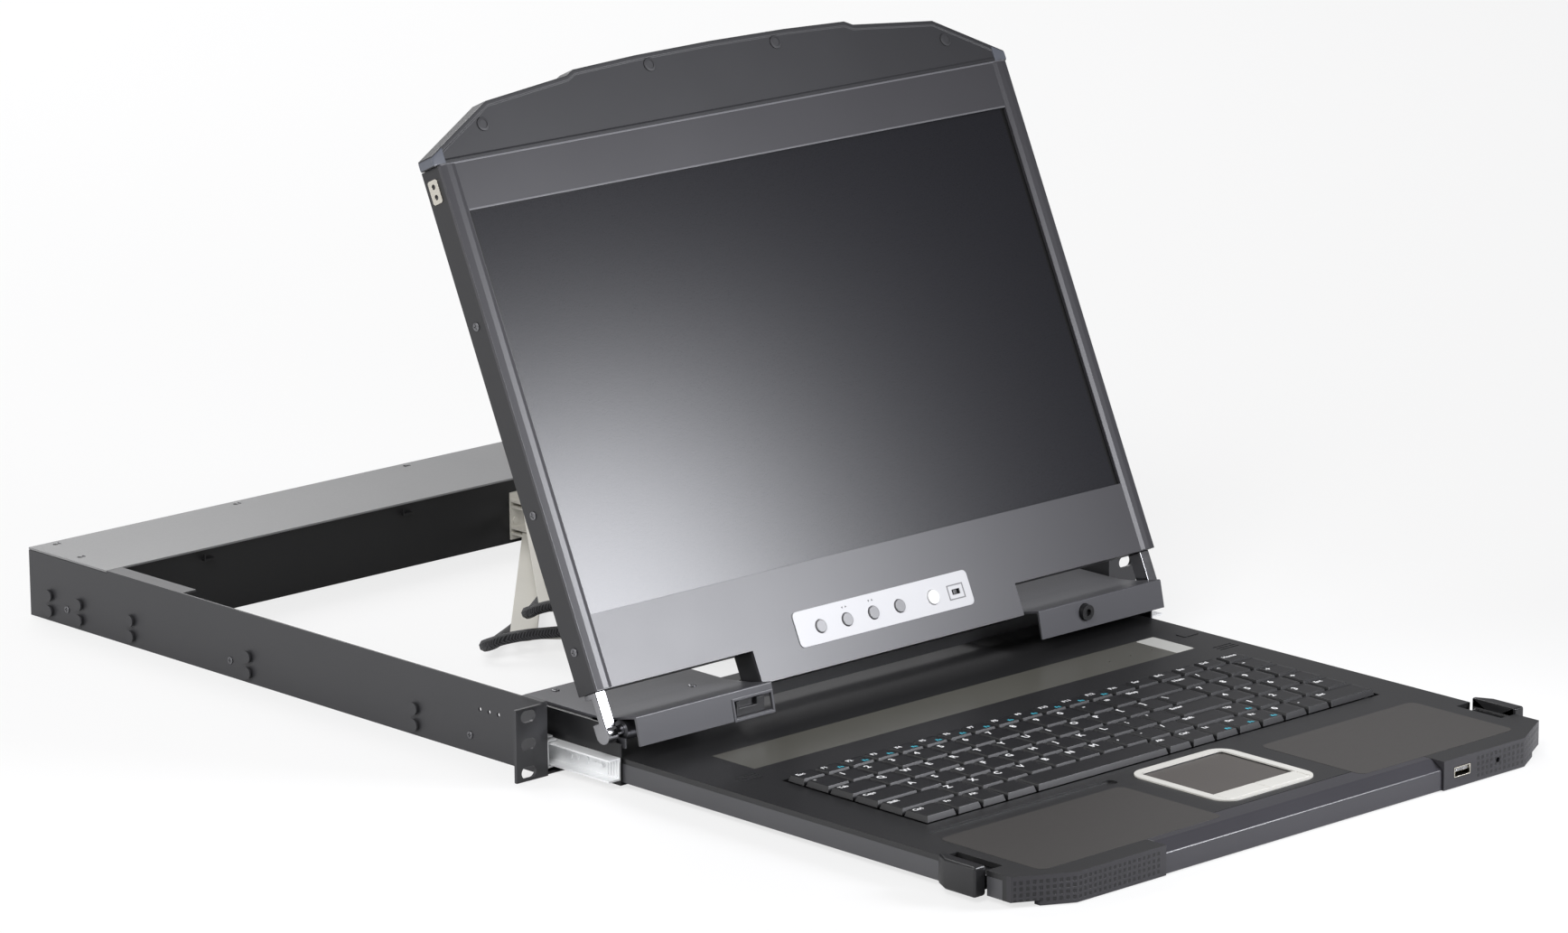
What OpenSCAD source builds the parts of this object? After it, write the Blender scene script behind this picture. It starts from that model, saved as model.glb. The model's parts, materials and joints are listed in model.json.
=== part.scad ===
// Rack-mount console with a fold-up screen and a keyboard drawer.
// X runs across the rack, Y from front to back and Z up.
// Every module is drawn with Y from the front face of the rack ears and Z from the
// underside of the chassis. in_frame() then moves the origin to the middle of the ears.

/* [Chassis] */
// Width over the two side panels
body_w = 440; // [436:1:446]
// Height of the side panels
chassis_h = 41.5; // [41.5:0.1:43.5]
// Depth from the front of the rack ears to the back
chassis_d = 467; // [467:1:520]
// Depth of the rear electronics housing
housing_d = 74; // [66:1:74]
// Thickness of the bent steel sheet
sheet_t = 1.2; // [1:0.1:1.4]
// Width of the flange along the foot of each side panel
foot_flange_w = 14; // [8:1:24]
// Width of the flange along the top of each side panel, at the back
top_flange_w = 10; // [4:1:12]
// Length of that top flange in front of the housing
top_flange_d = 72; // [40:1:74]

/* [Rack ears] */
// Width over the rack ears
rack_w = 482.6; // [480:0.1:484]
// Thickness of the ear plates
ear_t = 2; // [1.5:0.1:3]
// Distance between the slot columns of the two ears
slot_span = 465.1; // [464:0.1:466]
// Height from one slot to the next
slot_pitch = 15.875; // [15.875]
// Half of the slot height
slot_r = 3.4; // [3:0.1:3.6]
// Slot length from end to end
slot_l = 10.5; // [8:0.1:11]
// Length of the lip on top of the ear
ear_lip_l = 18; // [8:1:30]

/* [Side panel hooks] */
// Radius of the round hook heads
hook_r = 3.6; // [2.5:0.1:4.2]
// How far a hook head stands out of the panel
hook_out = 2.4; // [1:0.1:3]
// Height from the lower head of a pair to the upper one
hook_pitch = 9.5; // [9:0.1:12]
// Height of the middle of a pair
hook_z = 11; // [9.5:0.1:14]
// Radius of the flat rivets
rivet_r = 2.2; // [1.5:0.1:3]
// How far a rivet stands out
rivet_out = 0.8; // [0.4:0.1:1.2]
// Radius of the three small holes near the ear
pin_hole_r = 1.2; // [0.8:0.1:1.6]
// Distance between the small holes
pin_hole_pitch = 7.8; // [5:0.1:10]

/* [Housing fittings] */
// Radius of the cover screws' heads
cover_screw_r = 3; // [2:0.1:4]
// How far a cover screw's head stands out
cover_screw_out = 0.6; // [0.3:0.1:1]
// Radius of the screw shanks
shank_r = 1.4; // [1:0.1:1.6]
// Width of a bent hook tab on the housing's front wall
tab_w = 8; // [4:1:14]
// How far a hook tab stands out
tab_out = 3; // [1:0.5:6]
// Width of the power supply
supply_w = 120; // [80:1:140]
// Depth of the power supply
supply_d = 58; // [40:1:60]
// Height of the power supply
supply_h = 31; // [20:1:34]
// Width of the main board
board_w = 220; // [180:1:222]
// Depth of the main board
board_d = 60; // [50:1:62]
// Thickness of the boards
board_t = 1.6; // [1:0.1:2]
// Width of the power inlet's body
inlet_w = 27.6; // [26:0.1:30]
// Height of the power inlet's body
inlet_h = 20; // [18:0.1:24]
// Depth of the power inlet's body
inlet_d = 22; // [18:1:26]
// Radius of the side jack shafts on the rear connectors
jack_r = 2.4; // [1.5:0.1:3]

/* [Slide rails] */
// Sheet thickness of the rail members
rail_t = 1; // [0.8:0.1:1.2]
// Height of the outer rail member
rail_h = 18.4; // [17:0.1:18.6]
// Height of the rails' centre line
rail_z = 11.3; // [11:0.1:11.6]
// Running gap between the rail members
rail_gap = 0.4; // [0.3:0.05:0.6]
// Depth of the outer member's lips
rail_lip = 8; // [6:0.1:9]
// Gap between the outer member and the rear housing
rail_end_gap = 4; // [3:1:28]
// Length of the middle member
middle_rail_l = 188; // [170:1:190]
// Length of the inner member
inner_rail_l = 96; // [80:1:96]
// Radius of the screws on the inner member
rail_screw_r = 2.6; // [1.5:0.1:3.2]

/* [Screen carrier] */
// Distance from a side panel's outer face in to the carrier's side bracket
bracket_side = 12.8; // [12.6:0.1:14]
// How far the brackets reach in front of the ears
bracket_front = 46.7; // [44:0.1:48]
// Height of the brackets' front posts
post_h = 25.7; // [24:0.1:26]
// Length of the brackets' low front end
post_l = 14; // [8:0.1:16]
// Depth of the carrier frame behind its front wall
carrier_d = 58; // [50:1:58]
// Height of the carrier's top covers above the chassis underside
cover_top = 36; // [36:0.1:37]
// Height of the covers' raised front edge
cover_lip_z = 42.3; // [40:0.1:42.4]
// Distance of that front edge in front of the ears
cover_lip = 56.2; // [55:0.1:56.5]
// Depth of the slope behind that edge
lip_run = 26.5; // [20:0.5:27]
// Height of the lower edge of the front flaps
flap_low = 26; // [24:0.1:30]
// Lean of the front flaps
flap_lean = 3.4; // [1:0.1:3.6]
// Gap between the lid's tongue and each cover
cover_gap = 2; // [2:0.5:8]
// Distance from a side bracket's outer face in to the cover's end
cover_side = 3.2; // [2.2:0.1:7]
// Radius of the friction hinge barrels
barrel_r = 5.8; // [5:0.1:6]
// Length of the friction hinge barrels
barrel_l = 34; // [20:1:44]
// Radius of the hinge pins
hinge_pin_r = 3; // [2:0.1:3.4]
// Radial clearance of the hinge pins
pin_gap = 0.06; // [0.02:0.01:0.1]
// Radius of the round stud in the right flap
stud_r = 4.6; // [3:0.1:6]
// Width of the catch slider in the left flap
catch_w = 21; // [16:1:22]
// Height of the catch slider
catch_h = 8.6; // [6:0.1:9]
// Travel of the catch slider
catch_travel = 5; // [2:0.5:5]

/* [Screen lid] */
// Distance from a side panel's outer face in to the lid's edge
lid_side = 3.5; // [3:0.1:10]
// Height of the lid above its lower edge
lid_h = 299; // [290:1:300]
// Thickness of the lid
lid_t = 16.8; // [16:0.1:17]
// Lean of the open lid, back from upright
lid_tilt = 24.5; // [20:0.5:28]
// Distance from the hinge axis up to the lid's lower edge
hinge_drop = 23.3; // [23:0.1:24]
// Distance from the hinge axis forward to the lid's face
hinge_in = 8.6; // [8.4:0.1:8.8]
// Distance of the hinge axis in front of the ears
hinge_front = 41; // [41:0.1:42]
// Height of the hinge axis
hinge_z = 31; // [31:0.1:31.2]
// Thickness of the front bezel
bezel_t = 2; // [1.5:0.1:2.5]
// Wall of the lid's back cover
lid_wall = 1.5; // [1.2:0.1:2.5]
// Width of the bezel beside the screen window
window_side = 11.1; // [11:0.1:16.5]
// Width of the bezel above the screen window
window_over = 26.6; // [25:0.1:32]
// Distance from the lid's lower edge up to the window
window_low = 41.2; // [38:0.1:44]
// Half of the width of the tongue between the two hinge covers
tongue_half = 102; // [90:0.5:102]
// How far the tongue hangs below the lid's lower edge
tongue_drop = 19; // [14:0.5:19.5]
// Thickness of the display panel
panel_t = 7; // [4:0.1:9]
// Border of the display panel behind the bezel
panel_border = 4; // [2:0.1:4.5]
// Width of the hinge arms
arm_w = 7.4; // [5:0.1:7.6]
// Thickness of the hinge arms
arm_t = 11; // [8:0.1:14]

/* [Upper handle] */
// How far the upper handle's ends stand out beside the lid
grip_side = 2.5; // [0:0.1:2.5]
// Height of the upper handle above the lid
grip_h = 42; // [38:0.5:44]
// Depth of the upper handle
grip_d = 12.5; // [8:0.1:14]
// How far the handle's face lies behind the bezel
grip_back = 1.5; // [0.5:0.1:2.5]
// Radius of the four round bumpers
bumper_r = 4; // [2:0.1:5]
// Height of the bumpers
bumper_h = 1; // [0.6:0.1:2]

/* [Screen controls] */
// Width of the control plate
plate_w = 135; // [120:1:140]
// Height of the control plate
plate_h = 20.5; // [18:0.5:22]
// Height of the plate's lower edge, below the lid's lower edge
plate_drop = 5.5; // [3:0.1:6]
// Thickness of the control plate
plate_t = 0.6; // [0.4:0.1:0.8]
// Radius of the four menu buttons
menu_r = 3.8; // [3:0.1:4]
// Distance from one menu button to the next
menu_pitch = 20.3; // [16:0.1:21]
// Radius of the screen power button
power_r = 4.2; // [3:0.1:4.4]
// How far a pressed button still stands out of the plate
button_proud = 0.2; // [0.2:0.1:0.4]
// Travel of the buttons
button_travel = 0.8; // [0.4:0.1:0.8]
// Radial clearance round the buttons
button_gap = 0.25; // [0.15:0.05:0.4]
// Width of the slide switch knob
knob_w = 3; // [2:0.1:3.4]
// Height of the slide switch knob
knob_h = 2.6; // [1.5:0.1:3]
// Travel of the slide switch knob
knob_travel = 2.5; // [1:0.1:3]

/* [Keyboard tray] */
// Gap between the tray and each side bracket
tray_gap = 0.7; // [0.6:0.1:2]
// Distance of the tray's front edge in front of the ears
tray_front = 362.5; // [360:0.5:363]
// Distance of the tray's rear edge in front of the ears
tray_rear = 2; // [0:0.5:4]
// Height of the tray's underside above the chassis underside
tray_low = 0.5; // [0.4:0.1:0.8]
// Height of the deck above the chassis underside
deck_z = 17; // [16:0.1:17.2]
// Thickness of the deck moulding
deck_t = 3; // [2:0.1:3.4]
// Width of the step under each side of the tray
step_w = 13.9; // [13.7:0.1:16]
// Height of that step
step_h = 2.7; // [2.6:0.1:3]
// Depth of the front corner chamfers
chamfer_d = 17; // [10:0.5:20]
// Width of the front corner chamfers
chamfer_w = 31.3; // [20:0.5:36]
// Half of the length of the lower handle
bar_half = 108; // [100:0.5:110]
// Height of the lower handle's sloping edge
bar_slope_h = 5; // [2:0.5:7]
// Depth of the lower handle's sloping edge
bar_slope_d = 8; // [4:0.5:9]
// How far the lower handle lies behind the grips
bar_back = 1.2; // [0.5:0.1:2]
// Wall of the mouldings at the front
front_wall = 3; // [2:0.1:4]
// Width of the dark strip behind the keys
strip_w = 344; // [320:1:350]
// Depth of the dark strip
strip_d = 34; // [26:0.5:35]
// Distance of the strip's rear edge in front of the ears
strip_rear = 77; // [76:0.5:80]
// Thickness of the dark strip
strip_t = 1.6; // [1:0.1:2]

/* [Side catches] */
// Length of the side catches
side_catch_l = 32; // [28:1:34]
// Distance of their rear end in front of the ears
side_catch_rear = 295.5; // [294:0.5:300]
// How far they stand out of the tray's side
side_catch_out = 8.2; // [4:0.1:8.2]
// Height of their top above the chassis underside
side_catch_top = 19.8; // [18:0.1:20]
// Travel into the tray when the tray is pushed home
side_catch_travel = 11; // [10.6:0.1:11]

/* [Keys] */
// Distance from one key to the next across a row
key_pitch = 18.4; // [17:0.1:18.4]
// Depth of a row of keys
row_pitch = 19; // [18:0.1:19]
// Depth of the function row
top_row_pitch = 14; // [12:0.1:14]
// Gap between neighbouring keys
key_gap = 1.2; // [0.6:0.1:2]
// Height of the key tops above the deck
key_out = 3.4; // [2:0.1:3.4]
// Height of a key cap
key_h = 3.8; // [3:0.1:4]
// Travel of the keys
key_travel = 2; // [1:0.1:2.2]
// Radius of the stem under each key
stem_r = 1.8; // [1.2:0.1:2.4]
// Distance of the keyboard's rear edge in front of the ears
keys_rear = 139; // [139:0.5:141]
// Shift of the keyboard and the touchpad to the right of the middle
keys_shift = 4.5; // [0:0.5:6]
// Gap between the keys and the edge of their well
well_gap = 1.5; // [0.8:0.1:2]
// Thickness of the keyboard's base plate
key_base_t = 1; // [0.8:0.1:1.2]

/* [Touchpad] */
// Width of the touchpad frame
pad_frame_w = 74; // [66:0.5:80]
// Depth of the touchpad frame
pad_frame_d = 75; // [70:0.5:75]
// Distance of the frame's rear edge in front of the ears
pad_frame_rear = 259; // [258:0.5:259]
// Radius of the frame's corners
pad_corner_r = 11; // [6:0.5:14]
// Width of the frame's rim
pad_rim = 5.4; // [4:0.1:7]
// Depth of the two buttons
pad_button_d = 13; // [10:0.5:14]
// Thickness of the touchpad pieces
pad_t = 1.6; // [1:0.1:2.4]
// How far the frame stands out of the deck
pad_out = 0.8; // [0.4:0.1:1]
// How far the touch surface lies below the deck
pad_sunk = 0.5; // [0.2:0.1:0.8]
// Gap round the two buttons
pad_gap = 0.35; // [0.25:0.05:0.5]
// Travel of the two buttons
pad_travel = 0.5; // [0.3:0.1:0.6]

/* [Front socket] */
// Width of the socket's metal shell
socket_w = 13.2; // [12:0.1:14]
// Height of the socket's metal shell
socket_h = 5.8; // [5:0.1:7]
// Depth of the socket
socket_d = 15; // [10:0.5:18]
// Wall of the socket's shell
socket_wall = 0.5; // [0.3:0.1:0.8]
// Distance of the socket from the middle of the tray
socket_x = 123; // [120:0.5:128]
// Height of the socket's middle
socket_z = 9; // [8:0.1:10]
// Distance of the reset hole from the middle of the tray
reset_x = 152; // [146:0.5:160]
// Radius of the reset hole
reset_r = 1.5; // [1:0.1:2]

/* [Cable arms] */
// Distance of the arms' pivots from the middle of the chassis
pivot_x = 100; // [92:1:102]
// Distance of the rear pivots in front of the rear housing
pivot_reach = 15; // [15:0.5:16]
// Distance of the screen arm's front pivot behind the ears
screen_pivot_y = 5; // [4:0.5:6]
// Distance of the keyboard arm's front pivot behind the ears
key_pivot_y = 25; // [23:0.5:26]
// Length of the screen arm's links
screen_link_l = 238; // [238:1:242]
// Length of the keyboard arm's links
key_link_l = 240; // [240:1:244]
// Width of the links
link_w = 16; // [15:0.5:18]
// Thickness of the links
link_t = 1.2; // [1:0.1:1.2]
// Gap between the two links of an arm
link_gap = 0.3; // [0.25:0.05:0.4]
// Radius of the cables
cable_r = 3.4; // [2.5:0.1:3.4]
// Gap between a cable and its link
cable_gap = 0.1; // [0.1:0.05:0.3]
// Radius of the pins at the rear pivots
pivot_r = 3; // [2:0.1:3.5]
// Radius of the pins that run in the front slots
slot_pin_r = 2.4; // [2:0.1:2.6]
// How far a slot reaches in front of its pin
slot_fore = 20; // [19:0.5:20]
// How far the keyboard arm's slot reaches behind its pin
slot_aft = 13; // [12:0.5:14]
// Height of the keyboard arm's lowest cable
key_arm_z = 0.8; // [0.6:0.1:0.9]
// Height of the screen arm's lowest cable
screen_arm_z = 17.8; // [17.6:0.1:18]
// Distance from a pivot to the start of its cable
cable_start = 20; // [16:1:40]
// Width of the cable clips
clip_w = 6; // [4:0.5:10]

/* [Hidden] */
$fn = 48;
// Overrun of a cut past the face that it opens
cut = 0.5;
// Clearance between pieces that move past each other, and round fixed pieces in holes
slip = 0.3;
panel_x = body_w / 2;
panel_in = panel_x - sheet_t;
bracket_x = panel_x - bracket_side;
bracket_in = bracket_x - sheet_t;
cover_inner = tongue_half + cover_gap;
cover_outer = bracket_x - cover_side;
tray_half = bracket_in - tray_gap;
lid_w = body_w - 2 * lid_side;
window_w = lid_w - 2 * window_side;
window_h = lid_h - window_low - window_over;
grip_half = lid_w / 2 + grip_side;
button_out = button_proud + button_travel;
housing_y = chassis_d - housing_d;
pivot_rear = housing_y - pivot_reach;
cover_z = chassis_h - sheet_t;
// Y of the carrier frame's front wall
carrier_front = -22;
carrier_rear = carrier_front + carrier_d;
frame_top = cover_top - sheet_t - slip;
// Height of that wall's lower edge
frame_low = 21;
arm_clear_left = pivot_x - screen_link_l - link_w;
arm_clear_right = pivot_x + link_w;
arm_clear_y = carrier_front + sheet_t * 9.5;
// Shares along the side panel where its fittings sit
hook_shares = [0.238, 0.556, 0.790, 0.896, 0.958];
rivet_shares = [0.137, 0.592, 0.923];
tab_shares = [-0.66, 0.04, 0.74];
cover_screw_shares = [-0.93, -0.31, 0.31, 0.93];
lid_screw_shares = [0.08, 0.34, 0.70];
// Key widths in each row, in units of one key pitch; a minus sign leaves a gap
function_units = [1, 1, 1, 1, 1, 1, 1, 1, 1, 1, 1, 1, 1, 1, 1, 1, 1, 1, 1];
digit_units = [1, 1, 1, 1, 1, 1, 1, 1, 1, 1, 1, 1, 1, 2];
upper_units = [1.5, 1, 1, 1, 1, 1, 1, 1, 1, 1, 1, 1, 1, 1.5];
home_units = [1.75, 1, 1, 1, 1, 1, 1, 1, 1, 1, 1, 1, 2.25];
lower_units = [2.25, 1, 1, 1, 1, 1, 1, 1, 1, 1, 1, 1.75, 1];
bottom_units = [1.25, 1, 1, 1.25, -5.5, 1, 1, 1, 1, 1];
pad_units = [1, 1, 1, 1];
pad_low_units = [1, 1, 2];
space_start = 4.5;
space_units = 5.5;
main_units = 15;
all_units = 19;
keys_w = key_pitch * all_units;
keys_d = top_row_pitch + 5 * row_pitch;
keys_left = keys_shift - keys_w / 2;
deck_low = deck_z - deck_t;
well_floor = deck_low - key_base_t;
pad_left = keys_shift - pad_frame_w / 2;
pad_front = pad_frame_rear + pad_frame_d;
buttons_front = pad_front - pad_rim / 2;
window_top = window_low + window_h;
menu_places = [for (i = [0:3]) i * menu_pitch - 1.5 * menu_pitch - plate_w * 0.14];
power_place = plate_w * 0.28;
knob_place = plate_w * 0.405;
controls_s = plate_h / 2 - plate_drop - plate_h * 0.04;

module in_frame() translate([0, 0, -chassis_h / 2]) children();

// A box from its lowest to its highest corner
module block(a, b) translate(a) cube(b - a);

// What is drawn for the right side, turned over for the left
module on_side(s) {
    if (s < 0) mirror([1, 0, 0]) children();
    else children();
}

module both_sides() {
    children();
    mirror([1, 0, 0]) children();
}

// Lid coordinates: X across, Y up the lid from its lower edge, Z out of its face
module on_lid() {
    translate([0, -hinge_front, hinge_z])
        rotate([90 - lid_tilt, 0, 0])
            translate([0, hinge_drop, hinge_in])
                children();
}

// A round rod along X, with its end at the origin
module rod_x(r, l) rotate([0, 90, 0]) cylinder(r = r, h = l);

// A round rod along Y, with its end at the origin
module rod_y(r, l) rotate([-90, 0, 0]) cylinder(r = r, h = l);

// A slot of half width r and length l from end to end, cut along X
module slot_x(r, l, h) {
    run = l / 2 - r;
    for (s = [-1, 1]) translate([s * run, 0, 0]) cylinder(r = r, h = h);
    translate([-run, -r, 0]) cube([2 * run, 2 * r, h]);
}

// Chassis

module hook_head(y) {
    for (k = [-1, 1]) {
        translate([panel_x, y, hook_z + k * hook_pitch / 2]) {
            rod_x(hook_r * 0.6, hook_out);
            translate([hook_out / 2, 0, 0]) rod_x(hook_r, hook_out / 2);
        }
    }
}

module ear_plate() {
    difference() {
        block([panel_in, 0, 0], [rack_w / 2, ear_t, chassis_h]);
        for (k = [-1, 0, 1]) {
            translate([slot_span / 2, ear_t + cut, chassis_h / 2 + k * slot_pitch])
                rotate([90, 0, 0])
                    slot_x(slot_r, slot_l, ear_t + 2 * cut);
        }
    }
    block([panel_x - sheet_t, 0, chassis_h], [panel_x + ear_t, ear_lip_l, chassis_h + sheet_t]);
}

module chassis_side(s) {
    color("#3c3d42") in_frame() on_side(s) {
        difference() {
            block([panel_in, 0, 0], [panel_x, chassis_d, chassis_h]);
            block([panel_in - cut, housing_y - sheet_t - slip, cover_z - slip],
                [panel_x + cut, chassis_d + cut, chassis_h + cut]);
            for (i = [0:2]) {
                translate([panel_in - cut, chassis_d * 0.102 + (i - 1) * pin_hole_pitch,
                    chassis_h * 0.64])
                    rod_x(pin_hole_r, sheet_t + 2 * cut);
            }
        }
        ear_plate();
        block([panel_in - foot_flange_w, ear_t, 0], [panel_in, housing_y - slip, sheet_t]);
        block([panel_in - top_flange_w, housing_y - top_flange_d, cover_z],
            [panel_in, housing_y - sheet_t - slip, chassis_h]);
        for (share = hook_shares) hook_head(share * chassis_d);
    }
}

inlet_x = -panel_in * 0.72;
inlet_z = chassis_h * 0.52;
port_w = 31;
port_h = 12.5;
port_d = 14;
port_places = [for (i = [0:2]) panel_in * 0.1 + i * port_w * 1.55];

module rear_housing() {
    color("#2e2f33") in_frame() {
        difference() {
            union() {
                block([-panel_in, housing_y, 0], [panel_in, chassis_d, sheet_t]);
                block([-panel_in, housing_y, sheet_t],
                    [panel_in, housing_y + sheet_t, cover_z]);
                block([-panel_in, chassis_d - sheet_t, sheet_t],
                    [panel_in, chassis_d, cover_z]);
            }
            block([inlet_x - inlet_w / 2 - slip, chassis_d - sheet_t - cut,
                    inlet_z - inlet_h / 2 - slip],
                [inlet_x + inlet_w / 2 + slip, chassis_d + cut,
                    inlet_z + inlet_h / 2 + slip]);
            for (x = port_places) {
                block([x - port_w / 2 - slip, chassis_d - sheet_t - cut,
                        inlet_z - port_h / 2 - slip],
                    [x + port_w / 2 + slip, chassis_d + cut,
                        inlet_z + port_h / 2 + slip]);
            }
        }
        for (share = tab_shares) {
            translate([share * panel_in, 0, cover_z * 0.84]) {
                block([-tab_w / 2, housing_y - tab_out, 0], [tab_w / 2, housing_y, sheet_t]);
                block([-tab_w / 2, housing_y - tab_out, 0],
                    [-tab_w / 2 + sheet_t, housing_y - tab_out + sheet_t, sheet_t + tab_out]);
            }
        }
    }
}

// Y of the two rows of cover screws
cover_screw_rows = [housing_y + housing_d * 0.46, chassis_d - cover_screw_r * 2];

module rear_cover() {
    color("#8d8d8f") in_frame() {
        difference() {
            block([-panel_x, housing_y - sheet_t, cover_z], [panel_x, chassis_d, chassis_h]);
            for (share = cover_screw_shares) {
                translate([share * panel_x, cover_screw_rows[1], cover_z - cut])
                    cylinder(r = shank_r + slip, h = sheet_t + 2 * cut);
            }
            for (s = [-1, 1]) {
                translate([s * panel_x * 0.965, cover_screw_rows[0], cover_z - cut])
                    cylinder(r = shank_r + slip, h = sheet_t + 2 * cut);
            }
        }
    }
}

module cover_screw() {
    translate([0, 0, -sheet_t * 3]) cylinder(r = shank_r, h = sheet_t * 3);
    cylinder(r = cover_screw_r, h = cover_screw_out);
}

module housing_screws() {
    color("#5c5c60") in_frame() {
        for (share = cover_screw_shares) {
            translate([share * panel_x, cover_screw_rows[1], chassis_h]) cover_screw();
        }
        for (s = [-1, 1]) {
            translate([s * panel_x * 0.965, cover_screw_rows[0], chassis_h]) cover_screw();
        }
        both_sides() {
            for (share = rivet_shares) {
                translate([panel_x, share * chassis_d, hook_z * 0.92])
                    rod_x(rivet_r, rivet_out);
            }
        }
    }
}

board_z = sheet_t + chassis_h * 0.12;

module main_board() {
    color("#2f5d3a") in_frame() {
        y = housing_y + sheet_t * 3;
        x = panel_in - board_w - sheet_t * 6;
        block([x, y, board_z], [x + board_w, y + board_d, board_z + board_t]);
        for (i = [0:3]) {
            for (k = [0, 1]) {
                translate([x + board_w * (0.04 + 0.92 * i / 3), y + board_d * (0.1 + 0.8 * k),
                    sheet_t])
                    cylinder(r = shank_r * 2, h = board_z - sheet_t);
            }
        }
        for (i = [0:2]) {
            w = board_w * (0.08 + 0.02 * i);
            translate([x + board_w * (0.16 + 0.26 * i), y + board_d * 0.18,
                board_z + board_t])
                cube([w, w, board_t * 1.5]);
        }
    }
}

module power_supply() {
    color("#b9babd") in_frame() {
        x = inlet_x + inlet_w * 0.9;
        y = housing_y + sheet_t * 3;
        difference() {
            block([x, y, sheet_t], [x + supply_w, y + supply_d, sheet_t + supply_h]);
            for (i = [0:8]) {
                block([x + supply_w * (0.1 + 0.09 * i), y + supply_d * 0.2,
                        sheet_t + supply_h - sheet_t],
                    [x + supply_w * (0.14 + 0.09 * i), y + supply_d * 0.8,
                        sheet_t + supply_h + cut]);
            }
        }
    }
}

module power_inlet() {
    wall = inlet_w * 0.09;
    color("#1c1c1e") in_frame() {
        translate([inlet_x, chassis_d, inlet_z]) {
            difference() {
                block([-inlet_w / 2, -inlet_d, -inlet_h / 2], [inlet_w / 2, 0, inlet_h / 2]);
                block([-inlet_w / 2 + wall, -inlet_d + wall * 2, -inlet_h / 2 + wall],
                    [inlet_w / 2 - wall, cut, inlet_h / 2 - wall]);
            }
            difference() {
                block([-inlet_w * 0.75, 0, -inlet_h * 0.62], [inlet_w * 0.75, sheet_t, inlet_h * 0.62]);
                block([-inlet_w / 2 + wall, -cut, -inlet_h / 2 + wall],
                    [inlet_w / 2 - wall, sheet_t + cut, inlet_h / 2 - wall]);
            }
            for (i = [-1, 0, 1]) {
                block([i * inlet_w * 0.25 - wall / 2, -inlet_d + wall, -wall * (1 - abs(i)) - wall],
                    [i * inlet_w * 0.25 + wall / 2, -wall * 2, wall - wall * (1 - abs(i))]);
            }
        }
    }
}

module rear_connectors() {
    color("#c9cace") in_frame() {
        for (x = port_places) {
            translate([x, chassis_d, inlet_z]) {
                block([-port_w / 2, -port_d, -port_h / 2], [port_w / 2, 0, port_h / 2]);
                difference() {
                    block([-port_w * 0.3, 0, -port_h * 0.36], [port_w * 0.3, port_d * 0.3, port_h * 0.36]);
                    block([-port_w * 0.26, port_d * 0.06, -port_h * 0.28],
                        [port_w * 0.26, port_d * 0.3 + cut, port_h * 0.28]);
                }
                for (s = [-1, 1]) {
                    translate([s * port_w * 0.41, 0, 0]) rod_y(jack_r, port_d * 0.3);
                }
            }
        }
    }
}

// Cable arms

// Heights of the pieces of an arm, up from its lowest cable
rear_plate_up = 2 * cable_r + cable_gap;
front_plate_up = rear_plate_up + link_t + link_gap;
front_cable_up = front_plate_up + link_t + cable_gap + cable_r;
split_up = rear_plate_up + link_t + link_gap / 2;
ear_l = pivot_r * 3;

// Half of the distance between an arm's pivots, and the elbow's distance to the left
function arm_half(y) = (pivot_rear - y) / 2;
function arm_side(y, l) = sqrt(l * l - arm_half(y) * arm_half(y));

module cable_arm_bracket() {
    color("#d8d6cc") in_frame() {
        block([pivot_x - link_w / 2, housing_y - sheet_t, sheet_t * 2],
            [pivot_x + link_w / 2, housing_y, cover_z * 0.8]);
        for (low = [key_arm_z, screen_arm_z]) {
            for (z = [low + rear_plate_up - slip * 2 - sheet_t,
                low + rear_plate_up + link_t + slip * 2]) {
                block([pivot_x - link_w / 2, pivot_rear - ear_l, z],
                    [pivot_x + link_w / 2, housing_y - sheet_t, z + sheet_t]);
            }
            translate([pivot_x, pivot_rear, low + rear_plate_up - slip * 2 - sheet_t])
                cylinder(r = pivot_r, h = link_t + 4 * slip + 2 * sheet_t);
        }
        for (s = [-1, 1]) {
            translate([pivot_x + s * link_w * 0.28, housing_y - sheet_t - rivet_out,
                cover_z * 0.36])
                rod_y(rivet_r, rivet_out);
        }
    }
}

module link_plate(l, hole_a, hole_b, tip_r) {
    neck = link_w / 2 - tip_r;
    difference() {
        union() {
            cylinder(r = link_w / 2, h = link_t);
            translate([l, 0, 0]) cylinder(r = tip_r, h = link_t);
            translate([0, -link_w / 2, 0]) cube([l - 4 * neck, link_w, link_t]);
            translate([0, -tip_r, 0]) cube([l, 2 * tip_r, link_t]);
        }
        translate([0, 0, -cut]) cylinder(r = hole_a, h = link_t + 2 * cut);
        translate([l, 0, -cut]) cylinder(r = hole_b, h = link_t + 2 * cut);
    }
}

bush_in = cable_r + slip + cable_gap;
bush_out = bush_in + link_t;
bush_h = link_t * 1.4 + link_gap;

// A link lies along X from its pivot, and is turned to its place
module rear_link_place(y, l, low) {
    translate([pivot_x, pivot_rear, low])
        rotate([0, 0, 180 + atan2(arm_half(y), arm_side(y, l))])
            children();
}

module front_link_place(y, l, low) {
    translate([pivot_x - arm_side(y, l), pivot_rear - arm_half(y), low])
        rotate([0, 0, -atan2(arm_half(y), arm_side(y, l))])
            children();
}

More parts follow.
